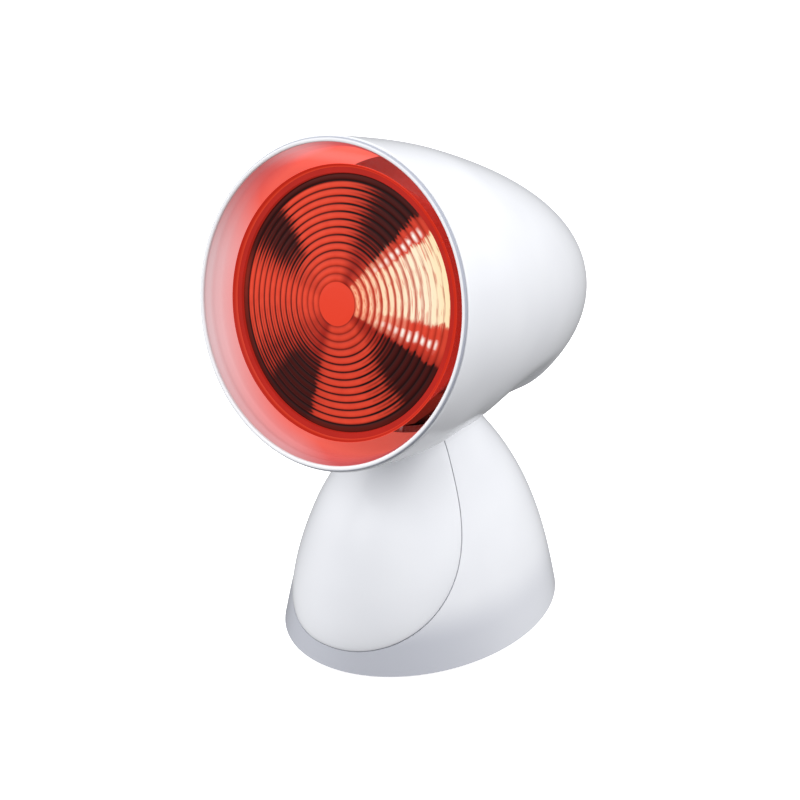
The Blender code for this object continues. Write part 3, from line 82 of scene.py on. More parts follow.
# adds a node and gives one of its outputs; a setting may be a hex colour or another node's output
def addNode(tree, kind, settings=None, out=0):
    node = tree.nodes.new("ShaderNode" + kind)
    for key, value in (settings or {}).items():
        if key == "stops":
            fillRamp(node.color_ramp, value)
        elif isinstance(key, int) or key in node.inputs:
            setSocket(node.inputs[key], value)
        else:
            setattr(node, key, value)
    return node.outputs[out]


def wire(shader, **sockets):
    for key, value in sockets.items():
        setSocket(shader.inputs[key.replace("_", " ")], value)


def newMaterial(name, **sockets):
    material = bpy.data.materials.new(name)
    material.use_nodes = True
    shader = material.node_tree.nodes["Principled BSDF"]
    wire(shader, **sockets)
    return material, partial(addNode, material.node_tree), shader


# settings that several nodes share
blend = {"data_type": "RGBA"}
times = {"data_type": "RGBA", "blend_type": "MULTIPLY", 0: 1.0}
smooth = {"interpolation_type": "SMOOTHSTEP"}


# where a point lies on a turned piece. Turn runs once round from the left, clockwise for someone looking in
def turnedPlace(add):
    place = add("TexCoord", out="Object")
    flat = add("VectorMath", {"operation": "MULTIPLY", 0: place, 1: (1.0, 1.0, 0.0)})
    turn = add("TexGradient", {"gradient_type": "RADIAL", "Vector": flat}, "Fac")
    radius = add("VectorMath", {"operation": "LENGTH", 0: flat}, "Value")
    return place, flat, turn, radius


def dress(thing, material):
    thing.data.materials.clear()
    thing.data.materials.append(material)


# meshes
def ringMesh(name, rings, place, wrap=False, sharp=40):
    bm = bmesh.new()
    rows = [[bm.verts.new(p) for p in ring] for ring in rings]
    pairs = list(zip(rows, rows[1:])) + ([(rows[-1], rows[0])] if wrap else [])
    for low, high in pairs:
        count = max(len(low), len(high))
        for i in range(count):
            j = (i + 1) % count
            corners = [low[i % len(low)], low[j % len(low)], high[j % len(high)], high[i % len(high)]]
            corners = list(dict.fromkeys(corners))
            if len(corners) > 2:
                bm.faces.new(corners)
    return finishMesh(name, bm, place, sharp)


def finishMesh(name, bm, place, sharp=40):
    bmesh.ops.recalc_face_normals(bm, faces=bm.faces)
    mesh = bpy.data.meshes.new(name)
    bm.to_mesh(mesh)
    bm.free()
    mesh.shade_smooth()
    mesh.set_sharp_from_angle(angle=radians(sharp))
    thing = bpy.data.objects.new(name, mesh)
    bpy.context.scene.collection.objects.link(thing)
    thing.matrix_world = place
    return thing


def turnedRings(profile, around, lift=None):
    rings = []
    for radius, back in profile:
        raised = lift(back) if lift else 0.0
        if radius <= 0:
            rings.append([(0.0, -raised, back)])
            continue
        rings.append([(radius * sin(2 * pi * i / around),
                       radius * cos(2 * pi * i / around) - raised, back) for i in range(around)])
    return rings


def combine(thing, others, way="DIFFERENCE", sharp=35):
    for other in others:
        step = thing.modifiers.new(way, "BOOLEAN")
        step.object = other
        step.operation = way
        step.solver = "EXACT"
    bpy.context.view_layer.update()
    mesh = bpy.data.meshes.new_from_object(thing.evaluated_get(bpy.context.evaluated_depsgraph_get()))
    thing.modifiers.clear()
    thing.data = mesh
    for other in others:
        bpy.data.objects.remove(other, do_unlink=True)
    mesh.shade_smooth()
    mesh.set_sharp_from_angle(angle=radians(sharp))


def ease(share):
    share = min(1.0, max(0.0, share))
    return share * share * (3 - 2 * share)


# the camera stands where the photograph was taken from
camera = {
    "lens": 104.5, "sensor": 36.0, "across": 579.3 * mm, "before": 706.6 * mm, "above": 409.5 * mm,
    "azimuth": 37.43, "height": 26.5,
}
rimMiddle = shadePlace.to_translation()
eye = bpy.data.cameras.new("camera")
eye.lens = camera["lens"]
eye.sensor_width = camera["sensor"]
eye.clip_start = 0.05
eye.clip_end = 20.0
eyeThing = bpy.data.objects.new("camera", eye)
bpy.context.scene.collection.objects.link(eyeThing)
eyeThing.location = rimMiddle + Vector((camera["across"], -camera["before"], camera["above"]))
eyeThing.rotation_euler = (radians(90 - camera["height"]), 0.0, radians(camera["azimuth"]))
bpy.context.scene.camera = eyeThing

# studio: white overhead, darker round the horizon and behind, on a white sweep
studio = {
    "air": [(0.0, 0.18), (0.40, 0.24), (0.49, 0.42), (0.56, 0.66), (0.66, 0.95), (1.0, 1.0)],  # by height
    "airTint": (0.965, 0.975, 1.0, 1.0),
    "airPower": 1.0,
    "behind": (-0.6, 0.8, 0.0), "behindDark": 0.85,
    "paper": "#F6F6F6", "paperGlow": 0.80, "paperHalf": 6.0, "paperRough": 0.95,
    "lights": [
        # name, place, aim, size, watts
        ("key", (-0.35, -1.45, 1.0), (0.0, 0.0, 0.12), 0.9, 9.0),
        ("fill", (-1.35, -0.7, 0.6), (0.0, -0.05, 0.12), 0.9, 5.5),
        ("side", (1.3, 0.7, 1.05), (0.0, 0.02, 0.16), 0.9, 17.5),
    ],
}


def buildStudio():
    world = bpy.data.worlds.new("studio air")
    bpy.context.scene.world = world
    world.use_nodes = True
    add = partial(addNode, world.node_tree)
    way = add("TexCoord", out="Generated")
    rise = add("SeparateXYZ", {0: way}, "Z")
    share = add("Math", {"operation": "MULTIPLY_ADD", 0: rise, 1: 0.5, 2: 0.5})
    air = add("ValToRGB", {"stops": studio["air"], 0: share})
    back = add("VectorMath", {"operation": "DOT_PRODUCT", 0: way, 1: studio["behind"]}, "Value")
    dim = add("MapRange", smooth | {"Value": back, "From Min": 0.1, "From Max": 0.9, "To Min": 1.0,
                                    "To Max": studio["behindDark"]})
    shaded = add("Mix", times | {6: air, 7: dim}, 2)
    shaded = add("Mix", times | {6: shaded, 7: studio["airTint"]}, 2)
    wire(world.node_tree.nodes["Background"], Color=shaded, Strength=studio["airPower"])
    for name, place, aim, size, power in studio["lights"]:
        lamp = bpy.data.lights.new(name, "AREA")
        lamp.shape = "DISK"
        lamp.size = size
        lamp.energy = power
        thing = bpy.data.objects.new(name, lamp)
        thing.location = place
        thing.rotation_euler = (Vector(aim) - Vector(place)).to_track_quat("-Z", "Y").to_euler()
        thing.visible_glossy = False  # soft light only, with no bright spots on the plastic
        bpy.context.scene.collection.objects.link(thing)
    bm = bmesh.new()
    bmesh.ops.create_grid(bm, x_segments=2, y_segments=2, size=studio["paperHalf"])
    floor = finishMesh("floor", bm, Matrix())
    floor.visible_diffuse = False  # the white paper neither lights the lamp nor shows in its gloss
    floor.visible_glossy = False
    dress(floor, newMaterial("white paper sweep", Roughness=studio["paperRough"], Base_Color=studio["paper"],
                             Emission_Color=studio["paper"], Emission_Strength=studio["paperGlow"])[0])
    bpy.context.scene.view_settings.view_transform = "Standard"
    print("studio built")


# moulded ABS: a glossy injection-moulded skin, with the tool's faint waviness and the finest orange peel
absSkin = {
    "colour": "#EEEFF2", "cloudy": "#E6E7EB", "roughness": 0.17, "roughSpread": 0.05, "ior": 1.53,
    "waveMm": 30.0, "peelMm": 1.6, "peelDeepMm": 0.012,  # real peel is finer still, drawn as coarse as it shows
    "paintedFootShade": "#C2C4CC", "skirtLow": 13 * mm, "skirtHigh": 34 * mm,  # painted shade: the foot's colour darkens towards its bottom edge, most at the front
    "skirtFront": -62 * mm, "skirtBack": 10 * mm, "skirtBackShare": 0.4,
}


def mouldedAbs(name, paintFootShade=False):
    material, add, shader = newMaterial(name, Roughness=absSkin["roughness"], IOR=absSkin["ior"])
    place = add("TexCoord", out="Object")
    wave = add("TexNoise", {"Vector": place, "Scale": 1000 / absSkin["waveMm"], "Detail": 1.0})
    peel = add("TexNoise", {"Vector": place, "Scale": 1000 / absSkin["peelMm"], "Detail": 2.0})
    tint = add("Mix", blend | {0: wave, 6: absSkin["colour"], 7: absSkin["cloudy"]}, 2)
    rough = add("MapRange", {"Value": peel, "To Min": absSkin["roughness"] - absSkin["roughSpread"] / 2,
                             "To Max": absSkin["roughness"] + absSkin["roughSpread"] / 2})
    bump = add("Bump", {"Height": peel, "Strength": 1.0, "Distance": absSkin["peelDeepMm"] * mm})
    # painted shade: low down, and most at the front, the colour is mixed towards a grey
    if paintFootShade:
        low = add("MapRange", smooth | {"Value": add("SeparateXYZ", {0: place}, "Z"),
                                        "From Min": absSkin["skirtHigh"], "From Max": absSkin["skirtLow"]})
        front = add("MapRange", smooth | {"Value": add("SeparateXYZ", {0: place}, "Y"),
                                          "From Min": absSkin["skirtFront"], "From Max": absSkin["skirtBack"],
                                          "To Min": 1.0, "To Max": absSkin["skirtBackShare"]})
        dim = add("Math", {"operation": "MULTIPLY", 0: low, 1: front})
        tint = add("Mix", blend | {0: dim, 6: tint, 7: absSkin["paintedFootShade"]}, 2)
    wire(shader, Base_Color=tint, Roughness=rough, Normal=bump)
    return material


# the egg of the shade
shade = {
    "rim": 72.8 * mm, "long": 174.2 * mm, "wall": 2.4 * mm, "lift": 1.7 * mm, "edge": 0.6 * mm,
    "curve": 1.40, "fullness": 2.585, "hole": 22.0 * mm,
    "scoopStart": 56.0 * mm, "scoopDeepest": 96.0 * mm, "scoopEnd": 119.5 * mm, "scoopDeep": 4.5 * mm,
    "swell": 1.5 * mm, "scoopAngle": radians(46), "scoopSpread": radians(27),
    "opening": 49.0 * mm, "ratio": 1.28,
    "around": 180, "rows": 110,
}


def shadeRadius(back):
    share = min(1.0, max(0.0, back / shade["long"]))
    return shade["rim"] * (1 - share ** shade["curve"]) ** (1 / shade["fullness"])


def shadeBack(radius):
    return shade["long"] * (1 - (radius / shade["rim"]) ** shade["fullness"]) ** (1 / shade["curve"])


def shadePoint(back, inset):
    step = shade["long"] / 2000
    slope = (shadeRadius(back + step) - shadeRadius(max(0.0, back - step))) / (step + min(back, step))
    length = hypot(1.0, slope)
    return shadeRadius(back) - inset / length, back + inset * slope / length


def shadeLift(back):
    return shade["lift"] * ease(back / shade["scoopStart"])


def scoop(back, fold):
    off = min(1.0, abs(fold - shade["scoopAngle"]) / shade["scoopSpread"])
    across = cos(off * pi / 2) ** 2
    if back < shade["scoopDeepest"]:
        along = ease((back - shade["scoopStart"]) / (shade["scoopDeepest"] - shade["scoopStart"]))
    else:
        along = max(0.0, 1 - ((back - shade["scoopDeepest"]) / (shade["scoopEnd"] - shade["scoopDeepest"])) ** 2)
    swell = sin(pi * back / shade["scoopStart"]) ** 2 if 0 < back < shade["scoopStart"] else 0.0
    return across * (shade["scoopDeep"] * along - shade["swell"] * swell)


def shadeRing(back, inset):
    radius, place = shadePoint(back, inset)
    ring = []
    for i in range(shade["around"]):
        angle = 2 * pi * i / shade["around"]
        r = radius - scoop(back, pi - abs(angle - pi))
        ring.append((r * sin(angle), r * cos(angle) - shadeLift(back), place))
    return ring


def ellipsoid(name, radius):
    bm = bmesh.new()
    bmesh.ops.create_uvsphere(bm, u_segments=160, v_segments=80, radius=radius)
    bm.transform(Matrix.Rotation(pi / 2, 4, "Y") @ Matrix.Diagonal((1.0, 1.0, 1 / shade["ratio"], 1.0)))
    return finishMesh(name, bm, Matrix.Translation(stance["hinge"]))


def buildHeadShell(plastic):
    hole = shadeBack(shade["hole"])
    edge = shade["edge"]
    backs = [edge + (hole - edge) * (i / shade["rows"]) for i in range(shade["rows"] + 1)]
    rings = [shadeRing(0.0, edge), shadeRing(edge * 0.12, edge * 0.5), shadeRing(edge * 0.5, edge * 0.12)]
    rings += [shadeRing(b, 0.0) for b in backs]
    rings += [shadeRing(b, shade["wall"]) for b in backs[::-3]]
    rings += [shadeRing(0.0, shade["wall"])]
    shell = ringMesh("headShell", rings, shadePlace, wrap=True)
    combine(shell, [ellipsoid("hingeRoom", shade["opening"])])
    dress(shell, plastic)
    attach(shell, "shade")
    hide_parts("head_shell")
    print("head shell built")


# the inner shade: spun aluminium with a white enamel, with the bulb's warm light on it painted into its colour
liner = {
    "lip": 2.3 * mm, "lipThick": 1.2 * mm, "wall": 0.9 * mm, "deep": 49.4 * mm, "air": 1.1 * mm, "gap": 0.3 * mm,
    "around": 180,
}


def linerProfile():
    fit = shade["rim"] - shade["wall"] - liner["gap"]
    lipOut = shade["rim"] - shade["edge"]
    lipIn = lipOut - liner["lip"]
    front = -liner["gap"] - liner["lipThick"]
    middle = (lipIn + lipOut) / 2
    outer = [(lipOut, -liner["gap"]), (fit, -liner["gap"])]
    for i in range(1, 25):
        share = i / 24
        back = liner["deep"] * share
        straight = fit - liner["air"] / 2 * share / 0.14
        curved = shadeRadius(back) - shade["wall"] - liner["air"] * (1 + share)
        outer.append((min(straight, fit - liner["air"] / 2) if share < 0.14 else min(curved, fit - liner["air"] / 2),
                      back))
    inner = [(r - liner["wall"], b) for r, b in reversed(outer[2:])]
    inner += [(lipIn + 0.1 * mm, liner["lipThick"] / 2)]
    lip = []
    half = liner["lip"] / 2
    for i in range(13):
        angle = pi * i / 12
        lip.append((middle - half * cos(angle), -liner["gap"] - liner["lipThick"] * sin(angle) ** 0.6))
    return outer + inner + lip[:-1]


# white stove enamel on spun aluminium: smooth and half glossy.
# The bulb's red glow on it and its shadows are painted, into its colour and as emission
enamel = {
    "roughness": 0.34, "pale": "#E8D3D6", "glow": "#DF6468", "deepGlow": "#EE6E60",
    # painted shade: the rolled lip turns grey at its outer side
    "lip": "#F2F2F4", "lipShadeGrey": "#A9ACB8", "lipSide": 71.9 * mm, "lipFade": 0.5 * mm,
    "byTurn": [(0.0, 0.06), (0.12, 0.80), (0.17, 0.48), (0.24, 0.95), (0.69, 1.0), (0.79, 0.50), (0.94, 0.08),
               (1.0, 0.06)],  # painted red glow: pale at the left, red over the top, right and bottom
    "shadeByTurn": [(0.0, 0.76), (0.12, 0.72), (0.18, 0.95), (0.23, 0.90), (0.30, 0.55), (0.42, 0.36), (0.62, 0.48),
                    (0.84, 0.70), (1.0, 0.76)],  # painted shade: brightest at the top, in shadow at the right and bottom
    "glowDeepMm": 18.0, "glowGain": 0.42, "rimShine": 0.52, "deepShine": 1.0, "grainMm": 5.0,
}


def buildInnerShade():
    rings = turnedRings(linerProfile(), liner["around"], shadeLift)
    thing = ringMesh("innerShade", rings, shadePlace, wrap=True, sharp=60)
    material, add, shader = newMaterial("white enamel on spun aluminium", Roughness=enamel["roughness"])
    place, flat, turn, radius = turnedPlace(add)
    deep = add("SeparateXYZ", {0: place}, "Z")
    depth = add("MapRange", {"Value": deep, "From Min": 0.0, "From Max": enamel["glowDeepMm"] * mm})
    grain = add("TexNoise", {"Vector": place, "Scale": 1000 / enamel["grainMm"], "Detail": 2.0})
    # painted light: the red glow by turn, stronger deeper in
    paintedGlowShare = add("ValToRGB", {"stops": enamel["byTurn"], 0: turn})
    paintedGlowShare = add("Math", {"operation": "MULTIPLY_ADD", "use_clamp": True, 0: depth, 1: enamel["glowGain"],
                           2: paintedGlowShare})
    shadow = add("ValToRGB", {"stops": enamel["shadeByTurn"], 0: turn})
    glow = add("Mix", blend | {0: depth, 6: enamel["glow"], 7: enamel["deepGlow"]}, 2)
    tint = add("Mix", blend | {0: paintedGlowShare, 6: enamel["pale"], 7: glow}, 2)
    tint = add("Mix", times | {6: tint, 7: shadow}, 2)
    inside = add("MapRange", {"Value": deep, "From Min": -liner["gap"], "From Max": liner["gap"]})
    side = add("MapRange", {"Value": radius, "From Min": enamel["lipSide"] - enamel["lipFade"],
                            "From Max": enamel["lipSide"]})
    # painted shade: grey on the lip's outer side
    lip = add("Mix", blend | {0: side, 6: enamel["lip"], 7: enamel["lipShadeGrey"]}, 2)
    skin = add("Mix", blend | {0: inside, 6: lip, 7: tint}, 2)
    # painted light: the painted colour also glows, more strongly deeper in
    shine = add("Mix", blend | {0: inside, 6: "#000000", 7: tint}, 2)
    power = add("MapRange", {"Value": depth, "To Min": enamel["rimShine"], "To Max": enamel["deepShine"]})
    rough = add("MapRange", {"Value": grain, "To Min": enamel["roughness"] - 0.04,
                             "To Max": enamel["roughness"] + 0.06})
    wire(shader, Base_Color=skin, Emission_Color=shine, Emission_Strength=power, Roughness=rough)
    dress(thing, material)
    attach(thing, "shade")
    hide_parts("inner_shade")
    print("inner shade built")


# the bulb: pressed ruby glass, its rings moulded in; how it looks lit from behind by the filament and its mirror
# is painted into the glass
bulb = {
    "radius": 60.5 * mm, "middleBack": 4.2 * mm, "domeBack": 6.4 * mm, "domePower": 1.1,
    "beadBack": 7.5 * mm, "bead": 1.8 * mm,
    "firstRing": 9.8 * mm, "pitch": 3.35 * mm, "rings": 14, "ringDeep": 0.5 * mm,
    "wall": 2.5 * mm, "neck": 20.0 * mm, "bowlStart": 9.6 * mm, "bowlDeep": 84.0 * mm, "capStart": 112.5 * mm,
    "around": 240,
}


def lensFace(radius):
    share = radius / (bulb["firstRing"] + bulb["rings"] * bulb["pitch"])
    return bulb["middleBack"] + bulb["domeBack"] * share ** bulb["domePower"]


def lensProfile():
    first = bulb["firstRing"]
    last = first + bulb["rings"] * bulb["pitch"]
    steps = 8
    profile = [(0.0, lensFace(first * 0.3))]
    profile += [(first * share, lensFace(first * max(share, 0.3))) for share in (0.15, 0.3, 0.5, 0.7, 0.9)]
    for i in range(bulb["rings"] * steps + 1):
        share = i / steps
        radius = first + bulb["pitch"] * share
        crest = abs(sin(pi * share)) ** 0.6  # a round crest between two narrow grooves
        profile.append((radius, lensFace(radius) + bulb["ringDeep"] * (1 - crest)))
    foot = lensFace(last)
    wall = [(0.25, 0.04), (0.45, -0.04), (0.62, -0.30), (0.78, -0.66), (0.88, -0.90), (0.95, -1.0)]
    rise = foot - bulb["beadBack"]
    profile += [(last + (bulb["radius"] - last) * share, foot + rise * height) for share, height in wall]
    profile += [(bulb["radius"], bulb["beadBack"] + bulb["bead"] * share) for share in (0.25, 1.0)]
    profile += [(bulb["radius"] * 0.93, foot + 1.2 * mm), (bulb["radius"] * 0.5, lensFace(last * 0.5) + 1.5 * mm)]
    profile += [(0.0, lensFace(0.0) + 1.5 * mm)]
    return profile


# pressed ruby glass with painted reflections and highlights: deep red where the mirror behind is dark,
# orange where the mirror shines, cream where the filament does.
# Far is the distance from the middle as a share of the bulb's radius, and frayed is turn with ragged edges.
ruby = {
    "roughness": 0.07, "ior": 1.5, "gloss": 0.14, "shine": 0.95, "skin": 0.08,
    "mottled": 0.25, "middleEdge": 0.4 * mm, "grooveDark": 0.75, "ghostFrom": -0.4, "smokeFrom": 0.10, "smokeTo": 0.88,
    "glintPower": 2.2, "sparkPower": 3.0, "arcFrom": 0.30, "arcTo": 0.58, "arcDim": 0.25, "arcBright": 1.25,
    "bright": "#E84A33", "dusky": "#A6281D",  # painted reflections: crests before the bright mirror, and before its dark parts
    "duskByTurn": [(0.0, 0.0), (0.045, 0.30), (0.15, 0.0), (0.23, 0.10), (0.295, 0.95), (0.375, 0.10), (0.515, 0.15),
                   (0.55, 1.0), (0.62, 0.20), (0.75, 0.20), (0.795, 1.0), (0.87, 0.60), (0.94, 0.05), (1.0, 0.0)],
    "valleyDark": "#C8B0A8", "middle": "#E6432D", "smoky": "#170708", "smokyCrest": "#451310",
    "creamByFar": [(0.17, "#FFB48C"), (0.4, "#FFDDB8"), (0.7, "#FFEFD0"), (0.95, "#FFE6B8")], "spark": "#FFFBF0",
    "mottleMm": 5.0, "wobble": 0.022, "ragged": 0.020, "arcsRound": 30.0, "arcMm": 0.7,
    "wedgeByTurn": [(0.0, 0.0), (0.02, 0.05), (0.066, 0.75), (0.090, 0.90), (0.125, 0.05), (0.14, 0.0), (0.19, 0.0),
                    (0.25, 0.22), (0.299, 0.78), (0.335, 0.92), (0.346, 0.0), (0.536, 0.0), (0.549, 0.95),
                    (0.59, 0.92), (0.635, 0.30), (0.69, 0.0), (0.765, 0.0), (0.785, 0.95), (0.833, 1.0), (0.875, 0.30),
                    (0.93, 0.05), (1.0, 0.0)],
    "wedgeByFar": [(0.0, 0.0), (0.38, 0.0), (0.50, 0.65), (0.62, 1.0), (1.0, 1.0)],
    "lineByTurn": [(0.0, 0.75), (0.06, 0.9), (0.20, 0.9), (0.335, 1.0), (0.352, 0.12), (0.53, 0.12), (0.548, 1.0),
                   (0.80, 1.0), (0.92, 0.9), (1.0, 0.75)],
    "lineByFar": [(0.0, 0.0), (0.15, 0.0), (0.17, 0.45), (0.30, 0.6), (0.38, 1.0), (0.90, 1.0), (0.94, 0.6),
                  (0.945, 0.0)],
    "fineByTurn": [(0.0, 0.1), (0.03, 0.45), (0.14, 0.1), (0.22, 0.1), (0.29, 0.5), (0.34, 0.4), (0.35, 0.0),
                   (0.535, 0.0), (0.56, 0.5), (0.62, 0.3), (0.69, 0.0), (0.76, 0.3), (0.86, 0.55), (0.93, 0.4),
                   (1.0, 0.1)],
    "grooveByCrest": [(0.0, 1.0), (0.26, 0.90), (0.58, 0.0)],
    "hotByFrayed": [(0.0, 0.0), (0.370, 0.0), (0.382, 1.0), (0.484, 1.0), (0.494, 0.0)],
    "hotByFar": [(0.0, 0.0), (0.36, 0.0), (0.41, 1.0), (0.945, 1.0), (0.972, 0.3), (0.98, 0.0)],
    "streakByFrayed": [(0.0, 0.0), (0.335, 0.0), (0.35, 0.8), (0.38, 1.0), (0.485, 1.0), (0.505, 0.7), (0.53, 0.6),
                       (0.542, 0.0)],
    "streakByFar": [(0.0, 0.0), (0.155, 0.0), (0.17, 1.0), (0.34, 0.95), (0.42, 0.55), (0.58, 0.25), (0.64, 0.0)],
    "solidByFar": [(0.0, 0.0), (0.48, 0.05), (0.66, 0.25), (0.82, 0.65), (0.95, 0.8)],
    "sparkByTurn": [(0.0, 0.0), (0.352, 0.0), (0.359, 1.0), (0.364, 1.0), (0.371, 0.0), (0.508, 0.0), (0.514, 1.0),
                    (0.521, 1.0), (0.529, 0.0)],
    "sparkByFar": [(0.0, 0.0), (0.30, 0.0), (0.45, 0.6), (0.62, 1.0), (0.84, 1.0), (0.88, 0.0)],
    "bandByFar": [(0.0, 0.0), (0.862, 0.0), (0.885, 1.0), (0.958, 1.0), (0.97, 0.0)],
    "bandByTurn": [(0.0, 0.80), (0.06, 1.0), (0.33, 0.95), (0.352, 0.1), (0.535, 0.1), (0.56, 0.95), (0.92, 0.9),
                   (1.0, 0.80)],
    "borderTintByFar": [(0.0, "#D8402A"), (0.955, "#D8402A"), (0.968, "#F8866A"), (0.978, "#D43C27"),
                        (0.99, "#B82416"), (1.0, "#CC301E")],
    "borderByFar": [(0.0, 0.0), (0.957, 0.0), (0.968, 1.0)],
}


def rubyGlass():
    material, add, shader = newMaterial("pressed ruby glass", Roughness=ruby["roughness"], IOR=ruby["ior"],
                                        Specular_IOR_Level=ruby["gloss"], Emission_Strength=ruby["shine"])
    place, flat, turn, radius = turnedPlace(add)
    far = add("Math", {"operation": "DIVIDE", 0: radius, 1: bulb["radius"]})
    mottle = add("TexNoise", {"Vector": flat, "Scale": 1000 / ruby["mottleMm"], "Detail": 3.0})
    loose = add("Math", {"operation": "MULTIPLY_ADD", 0: mottle, 1: ruby["wobble"], 2: -ruby["wobble"] / 2})
    turn = add("Math", {"operation": "ADD", 0: turn, 1: loose})
    # how far up each ring's crest, from its groove
    phase = add("Math", {"operation": "MULTIPLY_ADD", 0: radius, 1: pi / bulb["pitch"],
                         2: -pi * bulb["firstRing"] / bulb["pitch"]})
    crest = add("Math", {"operation": "ABSOLUTE", 0: add("Math", {"operation": "SINE", 0: phase})})
    # painted highlights: short bright arcs along the rings, which also fray the edges of the painted light
    along = add("Math", {"operation": "MULTIPLY", 0: turn, 1: ruby["arcsRound"]})
    outward = add("Math", {"operation": "MULTIPLY", 0: radius, 1: 1000 / ruby["arcMm"]})
    arcs = add("TexNoise", {"Vector": add("CombineXYZ", {0: outward, 1: along}), "Scale": 1.0, "Detail": 2.0})
    fray = add("Math", {"operation": "MULTIPLY_ADD", 0: arcs, 1: ruby["ragged"], 2: -ruby["ragged"] / 2})
    frayed = add("Math", {"operation": "ADD", 0: turn, 1: fray})

    # a ramp's name says what it runs along, and a mask is its ramp round the turn times its ramp by far
    sources = {"Turn": turn, "Frayed": frayed, "Far": far, "Crest": crest}
    ramps = {name: add("ValToRGB", {"stops": stops, 0: sources[name.split("By")[1]]})
             for name, stops in ruby.items() if "By" in name}
    masks = {"fine": add("Math", {"operation": "MULTIPLY", 0: ramps["fineByTurn"], 1: ramps["lineByFar"]})}
    for name in ("wedgeByTurn", "lineByTurn", "hotByFrayed", "streakByFrayed", "sparkByTurn", "bandByTurn"):
        mask = name.split("By")[0]
        masks[mask] = add("Math", {"operation": "MULTIPLY", 0: ramps[name], 1: ramps[mask + "ByFar"]})

    # painted shade: grooves darken and widen into the dark wedges, and a painted fainter image of each groove
    # shows beside them
    groove = add("Math", {"operation": "MULTIPLY", 0: ramps["grooveByCrest"], 1: masks["line"]})
    twice = add("Math", {"operation": "MULTIPLY", 0: phase, 1: 2.0})
    ghost = add("MapRange", smooth | {"Value": add("Math", {"operation": "COSINE", 0: twice}),
                                      "From Min": ruby["ghostFrom"], "From Max": -1.0})
    paintedShadeMask = add("Math", {"operation": "MULTIPLY_ADD", 0: ghost, 1: masks["fine"], 2: masks["wedge"]})
    paintedShadeMask = add("Math", {"operation": "MULTIPLY_ADD", 0: groove, 1: ruby["grooveDark"], 2: paintedShadeMask})
    paintedShadeMask = add("MapRange", smooth | {"Value": paintedShadeMask, "From Min": ruby["smokeFrom"], "From Max": ruby["smokeTo"]})
    ridge = add("Mix", blend | {0: ramps["duskByTurn"], 6: ruby["bright"], 7: ruby["dusky"]}, 2)
    # painted shade: the valleys between the crests are darker
    valley = add("Mix", times | {6: ridge, 7: ruby["valleyDark"]}, 2)
    red = add("Mix", blend | {0: crest, 6: valley, 7: ridge}, 2)
    red = add("Mix", blend | {"blend_type": "OVERLAY", 0: ruby["mottled"], 6: red, 7: mottle}, 2)
    core = add("MapRange", smooth | {"Value": radius, "From Min": bulb["firstRing"] - ruby["middleEdge"],
                                     "From Max": bulb["firstRing"]})
    red = add("Mix", blend | {0: core, 6: ruby["middle"], 7: red}, 2)
    # the dark red of the painted shade, lighter on the crests
    smoky = add("Mix", blend | {0: crest, 6: ruby["smoky"], 7: ruby["smokyCrest"]}, 2)
    paint = add("Mix", blend | {0: paintedShadeMask, 6: red, 7: smoky}, 2)
    # a dark band near the rim, in the same dark red
    paint = add("Mix", blend | {0: masks["band"], 6: paint, 7: smoky}, 2)
    # painted highlight: a thin bright line along the bead, deeper red towards its edge
    paint = add("Mix", blend | {0: ramps["borderByFar"], 6: paint, 7: ramps["borderTintByFar"]}, 2)
    # painted light of the filament: crests first, then nearly all of the glass towards the rim
    glint = add("Math", {"operation": "POWER", 0: crest, 1: ruby["glintPower"]})
    thin = add("Math", {"operation": "MULTIPLY", 0: glint, 1: masks["streak"]})
    glint = add("Math", {"operation": "ADD", 0: glint, 1: ramps["solidByFar"]})
    glint = add("Math", {"operation": "MULTIPLY_ADD", 0: glint, 1: masks["hot"], 2: thin})
    arcGain = add("MapRange", {"Value": arcs, "From Min": ruby["arcFrom"], "From Max": ruby["arcTo"],
                               "To Min": ruby["arcDim"], "To Max": ruby["arcBright"]})
    glint = add("Math", {"operation": "MULTIPLY", "use_clamp": True, 0: glint, 1: arcGain})
    paint = add("Mix", blend | {0: glint, 6: paint, 7: ramps["creamByFar"]}, 2)
    # painted highlights: small bright sparks on the crests
    dot = add("Math", {"operation": "POWER", 0: crest, 1: ruby["sparkPower"]})
    dot = add("Math", {"operation": "MULTIPLY", "use_clamp": True, 0: dot, 1: masks["spark"]})
    paint = add("Mix", blend | {0: dot, 6: paint, 7: ruby["spark"]}, 2)
    skin = add("Mix", blend | {0: ruby["skin"], 6: "#000000", 7: paint}, 2)
    wire(shader, Base_Color=skin, Emission_Color=paint)
    return material


# blown ruby glass silvered inside: smooth, dark and glossy from behind. Its unsilvered front and neck
# let the filament's light into the gap round the lens and into the shade behind it.
bowlGlass = {
    "colour": "#8E1710", "cloudy": "#5E0D0A", "cloudMm": 12.0, "ripple": 0.03 * mm, "roughness": 0.12,
    "light": "#B82A20", "shineByDepth": [(0.0, 0.20), (0.35, 0.13), (0.60, 0.13), (0.80, 1.0)],
    "depth": 120 * mm, "shine": 3.2,
}


def silveredRuby():
    material, add, shader = newMaterial("ruby glass, silvered inside", Roughness=bowlGlass["roughness"],
                                        IOR=ruby["ior"], Specular_IOR_Level=ruby["gloss"],
                                        Emission_Color=bowlGlass["light"])
    place = add("TexCoord", out="Object")
    cloud = add("TexNoise", {"Vector": place, "Scale": 1000 / bowlGlass["cloudMm"], "Detail": 2.0})
    tint = add("Mix", blend | {0: cloud, 6: bowlGlass["colour"], 7: bowlGlass["cloudy"]}, 2)
    bump = add("Bump", {"Height": cloud, "Strength": 1.0, "Distance": bowlGlass["ripple"]})
    share = add("Math", {"operation": "DIVIDE", 0: add("SeparateXYZ", {0: place}, "Z"), 1: bowlGlass["depth"]})
    share = add("ValToRGB", {"stops": bowlGlass["shineByDepth"], 0: share})
    glow = add("Math", {"operation": "MULTIPLY", 0: share, 1: bowlGlass["shine"]})
    wire(shader, Base_Color=tint, Emission_Strength=glow, Normal=bump)
    return material


